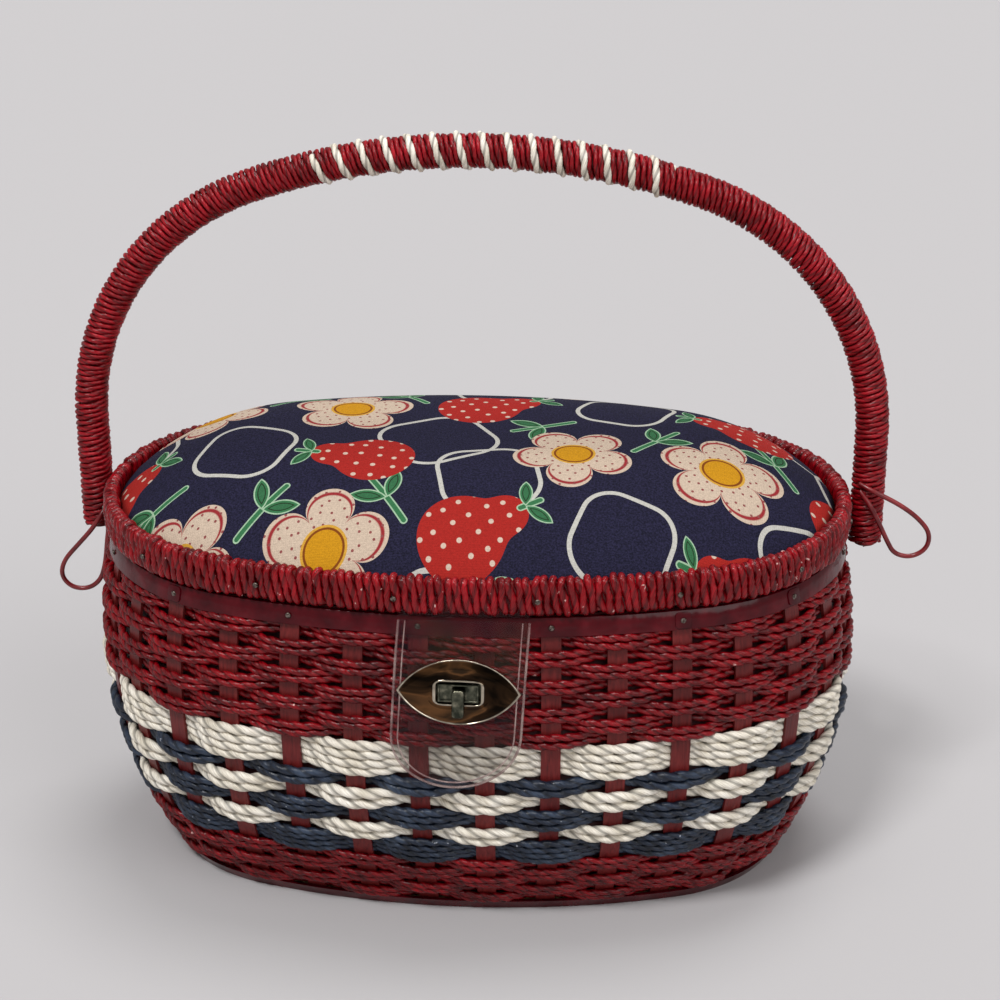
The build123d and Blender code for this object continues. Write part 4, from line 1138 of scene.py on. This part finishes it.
# Hinges: stamped brass-plated steel leaves round a pin, nailed to band and winding at the back.
# The photo doesn't show them, so their look is a guess.
hinge_plate = new_material("brassed_steel", "#8a7548", 0.34, Metallic=1.0)
place = add(hinge_plate, "ShaderNodeTexCoord", take="Object")
dulled = add(hinge_plate, "ShaderNodeTexNoise", {"Vector": place, "Scale": 1 / (4 * MM)})
add(
    hinge_plate, "ShaderNodeValToRGB", {"Fac": dulled}, to="Base Color",
    stops=[(0.3, "#6b5a38"), (0.7, "#a58f5c")],
)
for name in ("hinge_lower_leaves", "hinge_upper_leaves", "hinge_pins"):
    dress(nodes[name], hinge_plate)


# Turn lock's base: a nickel-plated plate on the weave, with a rectangular collar that comes up
# through the flap's slot, so the button turns in front of it.
latch_centre, latch_depth = 0.6 * MM, 27.0 * MM
latch_z = rim_z - latch_depth
latch_tilt = math.asin((latch_z - wall_centre[1]) / wall_radius)
latch_lean = math.radians(0.8)
latch_place = (
    Matrix.Translation((latch_centre, -half_width - float(wall_out(latch_z)), latch_z))
    @ Matrix.Rotation(math.pi / 2 - latch_tilt, 4, "X")
    @ Matrix.Rotation(-latch_lean, 4, "Z")
)
# Nickel plate: it mirrors the room, and its colour adds a painted reflection of it, near black to
# brown in broad patches.
reflection_painted_nickel = new_material("nickel_painted_reflection", "#3a2c20", 0.09, Metallic=1.0)
place = add(reflection_painted_nickel, "ShaderNodeTexCoord", take="Object")
stretched = add(reflection_painted_nickel, "ShaderNodeMapping", {"Vector": place, "Scale": (0.6, 1.0, 1.4)})
mirrored_patches = add(
    reflection_painted_nickel, "ShaderNodeTexNoise",
    {"Vector": stretched, "Scale": 1 / (16 * MM), "Detail": 3, "Distortion": 1.2},
)
add(
    reflection_painted_nickel, "ShaderNodeValToRGB", {"Fac": mirrored_patches}, to="Base Color",
    stops=[(0.36, "#15100c"), (0.5, "#37271a"), (0.58, "#6e4c30"), (0.7, "#3a2c20")],
)
bright_nickel = new_material("bright_nickel", "#b9ad9c", 0.16, Metallic=1.0)
place = add(bright_nickel, "ShaderNodeTexCoord", take="Object")
scratch = add(bright_nickel, "ShaderNodeTexNoise", {"Vector": place, "Scale": 1 / (3 * MM)})
add(
    bright_nickel, "ShaderNodeValToRGB", {"Fac": scratch}, to="Base Color",
    stops=[(0.3, "#8f8474"), (0.7, "#cfc4b2")],
)

# The lock's own parts are duller: bare zinc alloy, painted darker as shade and mottled greenish
# grey.
shade_painted_zinc = new_material("zinc_alloy_painted_shade", "#56574a", 0.24, Metallic=1.0)
place = add(shade_painted_zinc, "ShaderNodeTexCoord", take="Object")
mottle = add(shade_painted_zinc, "ShaderNodeTexNoise", {"Vector": place, "Scale": 1 / (2.5 * MM), "Detail": 3})
add(
    shade_painted_zinc, "ShaderNodeValToRGB", {"Fac": mottle}, to="Base Color",
    stops=[(0.35, "#33362e"), (0.55, "#595a4d"), (0.72, "#8a8674")],
)

collar_long, collar_high = 15.2 * MM, 7.0 * MM
base_long, base_high, base_thick = 30.0 * MM, 16.0 * MM, 0.7 * MM
bpy.ops.mesh.primitive_cube_add(size=1.0)
lock_base = bpy.context.object
lock_base.name = lock_base.data.name = "turn_lock_base"
lock_base.data.transform(
    Matrix.Translation((0, 0, 0.05 * MM + base_thick / 2))
    @ Matrix.Diagonal((base_long, base_high, base_thick, 1.0))
)
edit_faces(lock_base, lambda polygon: polygon.normal.z > 0.5)
bpy.ops.mesh.inset(thickness=(base_high - collar_high) / 2, depth=0.0)
bpy.ops.transform.resize(
    value=(collar_long / (base_long - base_high + collar_high), 1.0, 1.0),
    center_override=(0.0, 0.0, 0.0),
)
bpy.ops.mesh.extrude_region_move(TRANSFORM_OT_translate={"value": (0, 0, 3.6 * MM)})
bpy.ops.mesh.inset(thickness=0.7 * MM, depth=0.0)
bpy.ops.mesh.extrude_region_move(TRANSFORM_OT_translate={"value": (0, 0, -0.7 * MM)})
bpy.ops.object.mode_set(mode="OBJECT")
soften = lock_base.modifiers.new("edges", "BEVEL")
soften.width = 0.22 * MM
soften.segments = 2
bpy.ops.object.modifier_apply(modifier="edges")
lock_base.data.transform(latch_place)
dress(lock_base, shade_painted_zinc, "basket")
bpy.ops.object.shade_smooth_by_angle(angle=math.radians(35))
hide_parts("lock_base_plate")


# Eye plate: pressed nickel in a pointed oval, its rim turned to a bright bead, domed up to a
# raised frame round the slot. Two rivets through the flap hold it to its back plate.
eye_long, eye_high = 46.8 * MM, 26.0 * MM
slot_long, slot_high = 16.8 * MM, 8.8 * MM
eye_low = 2.35 * MM
eye_arc = ((eye_long / 2) ** 2 + (eye_high / 2) ** 2) / eye_high
eye_spokes = 128
# From the edge at 0 to the slot at 1, with the height in millimetres at each ring.
eye_profile = [
    (0.0, 0.0), (0.0, 0.45), (0.012, 0.75), (0.035, 0.85), (0.06, 0.72), (0.075, 0.5),
    (0.14, 0.8), (0.26, 1.15), (0.42, 1.42), (0.58, 1.55), (0.74, 1.55), (0.8, 1.42),
    (0.84, 1.22), (0.88, 1.3), (0.92, 1.72), (0.95, 1.86), (0.985, 1.82), (1.0, 1.6), (1.0, 0.0),
]
last_bead_ring, last_dome_ring = 4, 13
bpy.ops.mesh.primitive_cylinder_add(
    vertices=eye_spokes, radius=1.0, depth=1.0, end_fill_type="NOTHING"
)
eye_plate = bpy.context.object
eye_plate.name = eye_plate.data.name = "latch_eye_plate"
bpy.ops.object.mode_set(mode="EDIT")
bpy.ops.mesh.select_all(action="SELECT")
bpy.ops.mesh.delete(type="ONLY_FACE")
bpy.ops.mesh.select_all(action="DESELECT")
bpy.ops.object.mode_set(mode="OBJECT")
for vertex in eye_plate.data.vertices:
    vertex.select = vertex.co.z < 0
bpy.ops.object.mode_set(mode="EDIT")
bpy.ops.mesh.delete(type="VERT")
for _ in eye_profile[1:]:
    bpy.ops.mesh.select_all(action="DESELECT")
    bpy.ops.object.mode_set(mode="OBJECT")
    last_ring = len(eye_plate.data.vertices) - eye_spokes
    for vertex in eye_plate.data.vertices:
        vertex.select = vertex.index >= last_ring
    for edge_line in eye_plate.data.edges:
        edge_line.select = min(edge_line.vertices) >= last_ring
    bpy.ops.object.mode_set(mode="EDIT")
    bpy.ops.mesh.extrude_edges_move(TRANSFORM_OT_translate={"value": (0, 0, 1.0)})
bpy.ops.object.mode_set(mode="OBJECT")
eye_points = np.empty(len(eye_plate.data.vertices) * 3)
eye_plate.data.vertices.foreach_get("co", eye_points)
eye_points = eye_points.reshape(-1, 3)
ring_level = np.rint(eye_points[:, 2] - eye_points[:, 2].min()).astype(int)
spoke = np.arctan2(eye_points[:, 1], eye_points[:, 0])
tip_x = eye_long / 2 * np.cos(spoke)
tip_y = np.sign(np.sin(spoke)) * (
    np.sqrt(np.maximum(eye_arc**2 - tip_x**2, 0)) - (eye_arc - eye_high / 2)
)
tip_y = np.where(np.abs(np.sin(spoke)) < 1e-6, 0.0, tip_y)
squareness = 0.22
slot_x = slot_long / 2 * np.sign(np.cos(spoke)) * np.abs(np.cos(spoke)) ** squareness
slot_y = slot_high / 2 * np.sign(np.sin(spoke)) * np.abs(np.sin(spoke)) ** squareness
share = np.array([p[0] for p in eye_profile])[ring_level]
rise = np.array([p[1] for p in eye_profile])[ring_level] * MM
reshape(
    eye_plate, tip_x * (1 - share) + slot_x * share, tip_y * (1 - share) + slot_y * share,
    eye_low + rise,
)
# The dome takes the nickel with the painted reflection, the bead and the slot's frame the bright
# nickel.
dress(eye_plate, reflection_painted_nickel)
eye_plate.data.materials.append(bright_nickel)
for polygon in eye_plate.data.polygons:
    level = min(ring_level[v] for v in polygon.vertices)
    polygon.material_index = 0 if last_bead_ring < level <= last_dome_ring else 1
select_only(eye_plate)
bpy.ops.object.mode_set(mode="EDIT")
bpy.ops.mesh.select_all(action="SELECT")
bpy.ops.mesh.normals_make_consistent(inside=False)
bpy.ops.object.mode_set(mode="OBJECT")
eye_plate.data.transform(latch_place)
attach(eye_plate, "flap")
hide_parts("eye_plate")
for name in (
    "lock_backing_plate", "lock_rivets", "eye_back_plate", "eye_rivets", "turn_button",
    "button_washer",
):
    dress(nodes[name], bright_nickel if "eye" in name else shade_painted_zinc)


# Latch flap: clear vinyl, 1 mm thick, that hangs from the lid's rim and lies on the weave. A welded
# line runs 2.6 mm inside its edge, and both catch the light as thin pale lines, their pale colour a
# painted highlight.
flap_half, flap_long, flap_angle = 24.75 * MM, 68.0 * MM, math.radians(3.5)
flap_lean = math.tan(flap_angle)
flap_left = latch_centre + latch_depth * math.sin(flap_angle)
flap_stand = 1.6 * MM
flap_straight = flap_long * 0.66
bend_depth, hinge_depth = 12 * MM, 0.8 * MM


def flap_edge(depth, inset=0.0):
    """Half width of the flap at a depth under the rim."""
    round_part = np.clip((depth - flap_straight) / (flap_long - inset - flap_straight), 0, 1)
    return (flap_half - inset) * np.sqrt(np.maximum(1 - round_part**2, 0))


def on_flap(x, depth, stand):
    """Points of the flap: along the wall's front, bent to its hinge under the lid's rim."""
    z = rim_z - depth
    wall_y = -half_width - wall_out(z, flap_stand + stand)
    bend_z = rim_z - bend_depth
    bend_y = -half_width - wall_out(bend_z, flap_stand + stand)
    hinge_y = -half_width + 1.1 * MM - stand + 0.5 * MM
    share = np.clip((bend_z - z) / (bend_z - (rim_z - hinge_depth)), 0, 1)
    bent_y = bend_y * (1 - share) + hinge_y * share
    return np.column_stack([x, np.where(depth > bend_depth, wall_y, bent_y), z])


# Clear vinyl, slightly yellowed and smoky, so the weave behind it looks darker and greyer.
clear_vinyl = new_material(
    "clear_vinyl_sheet", "#2e2024", 0.08, Alpha=0.17, Specular_IOR_Level=0.4
)
place = add(clear_vinyl, "ShaderNodeTexCoord", take="Object")
cloudy = add(clear_vinyl, "ShaderNodeTexNoise", {"Vector": place, "Scale": 1 / (18 * MM)})
add(
    clear_vinyl, "ShaderNodeValToRGB", {"Fac": cloudy}, to="Base Color",
    stops=[(0.35, "#281a22"), (0.65, "#3c3226")],
)
add(clear_vinyl, "ShaderNodeBump", {"Height": cloudy, "Distance": 0.25 * MM}, to="Normal")
# Painted highlight: the edge and weld beads are coloured pale pink to read as lit lines.
highlight_edge_vinyl = new_material("vinyl_edge_painted_highlight", "#9a7472", 0.15, Alpha=0.45, Specular_IOR_Level=0.8)
place = add(highlight_edge_vinyl, "ShaderNodeTexCoord", take="Object")
cloudy = add(highlight_edge_vinyl, "ShaderNodeTexNoise", {"Vector": place, "Scale": 1 / (7 * MM)})
add(
    highlight_edge_vinyl, "ShaderNodeValToRGB", {"Fac": cloudy}, to="Base Color",
    stops=[(0.35, "#8a5f60"), (0.65, "#cbb0aa")],
)

bpy.ops.mesh.primitive_grid_add(x_subdivisions=40, y_subdivisions=90, size=1)
flap = bpy.context.object
flap.name = flap.data.name = "latch_flap_vinyl"
grid = np.empty(len(flap.data.vertices) * 3)
flap.data.vertices.foreach_get("co", grid)
grid = grid.reshape(-1, 3)
down = 0.5 - grid[:, 1]
depth = np.where(down < 1, flap_long * (1 - (1 - down) ** 1.6), flap_long)
depth = np.maximum(depth, hinge_depth)
x = flap_left - flap_lean * depth + 2 * grid[:, 0] * np.maximum(flap_edge(depth), 0.05 * MM)
reshape(flap, *on_flap(x, depth, 0.5 * MM).T)
slot_centre = latch_place.to_translation()


def in_slot(polygon):
    """Whether a face of the flap lies in the slot, which is cut 0.6 mm wider than the plate's."""
    away = polygon.center - slot_centre
    return abs(away.x) < slot_long / 2 + 0.6 * MM and abs(away.z) < slot_high / 2 + 0.6 * MM


select_only(flap)
edit_faces(flap, in_slot)
bpy.ops.mesh.delete(type="FACE")
bpy.ops.object.mode_set(mode="OBJECT")
thicken = flap.modifiers.new("vinyl", "SOLIDIFY")
thicken.thickness = 0.9 * MM
thicken.offset = 0.0
bpy.ops.object.modifier_apply(modifier="vinyl")
dress(flap, clear_vinyl)
flap.data.materials.append(highlight_edge_vinyl)
beads = []
for bead, inset, stand, radius in (("edge", 0.3, 0.5, 0.5), ("weld", 2.8, 1.0, 0.3)):
    round_long = flap_long - inset * MM - flap_straight
    bead_depth = np.concatenate(
        [
            np.linspace(1.0 * MM, flap_straight, 24),
            flap_straight + round_long * np.sin(np.linspace(0, math.pi / 2, 40)[1:]),
        ]
    )
    reach = flap_edge(bead_depth, inset * MM)
    middle = flap_left - flap_lean * bead_depth
    bead_x = np.concatenate([middle - reach, (middle + reach)[::-1][1:]])
    bead_path = on_flap(bead_x, np.concatenate([bead_depth, bead_depth[::-1][1:]]), stand * MM)
    bead_curve = bpy.data.curves.new(f"flap_{bead}", "CURVE")
    bead_curve.dimensions = "3D"
    bead_curve.bevel_depth = radius * MM
    bead_curve.bevel_resolution = 2
    bead_curve.use_fill_caps = True
    bead_spline = bead_curve.splines.new("POLY")
    bead_spline.points.add(len(bead_path) - 1)
    bead_spline.points.foreach_set(
        "co", np.column_stack([bead_path, np.ones(len(bead_path))]).ravel()
    )
    line = bpy.data.objects.new(f"flap_{bead}", bead_curve)
    bpy.context.scene.collection.objects.link(line)
    select_only(line)
    bpy.ops.object.convert(target="MESH")
    line = bpy.context.object
    line.data.polygons.foreach_set("use_smooth", np.ones(len(line.data.polygons), bool))
    dress(line, highlight_edge_vinyl)
    beads.append(line)
select_only(flap, *beads)
bpy.ops.object.join()
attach(flap, "flap")
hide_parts("latch_flap")
# The tab is squeezed between hoop and winding, and the winding's red shows through it. Its dark red
# colour is painted shade.
shaded_tab_vinyl = new_material("vinyl_tab_painted_shade", "#2c0a0d", 0.3, Alpha=0.25, Specular_IOR_Level=0.3)
place = add(shaded_tab_vinyl, "ShaderNodeTexCoord", take="Object")
cloudy = add(shaded_tab_vinyl, "ShaderNodeTexNoise", {"Vector": place, "Scale": 1 / (7 * MM)})
add(
    shaded_tab_vinyl, "ShaderNodeValToRGB", {"Fac": cloudy}, to="Base Color",
    stops=[(0.35, "#20070a"), (0.65, "#3a0f13")],
)
dress(nodes["flap_tab"], shaded_tab_vinyl)


# Floor and light: a pale matt floor out to the horizon. One soft sun lights the front from the
# left, a broader one the top, and a lamp at the right lifts the shadows.
bpy.ops.mesh.primitive_plane_add(size=200.0)
floor = bpy.context.object
floor.name = floor.data.name = "floor"
floor.data.materials.append(new_material("floor_paint", "#b7b5b6", 0.85, Specular_IOR_Level=0.1))
world = bpy.data.worlds.new("world")
bpy.context.scene.world = world
world.use_nodes = True
world.node_tree.nodes["Background"].inputs[0].default_value = linear("#d8d6d6")
world.node_tree.nodes["Background"].inputs[1].default_value = 0.6
for name, lamp_place, strength, softness in (
    ("key", (-0.45, -0.75, 1.5), 1.7, 14),
    ("top", (0.2, 0.3, 1.5), 1.1, 24),
    ("fill", (0.9, -0.8, 0.9), 0.8, 40),
):
    lamp_data = bpy.data.lights.new(name, "SUN")
    lamp_data.energy = strength
    lamp_data.angle = math.radians(softness)
    lamp = bpy.data.objects.new(name, lamp_data)
    lamp.location = lamp_place
    lamp.rotation_mode = "QUATERNION"
    lamp.rotation_quaternion = (-Vector(lamp_place)).to_track_quat("-Z", "Y")
    bpy.context.scene.collection.objects.link(lamp)
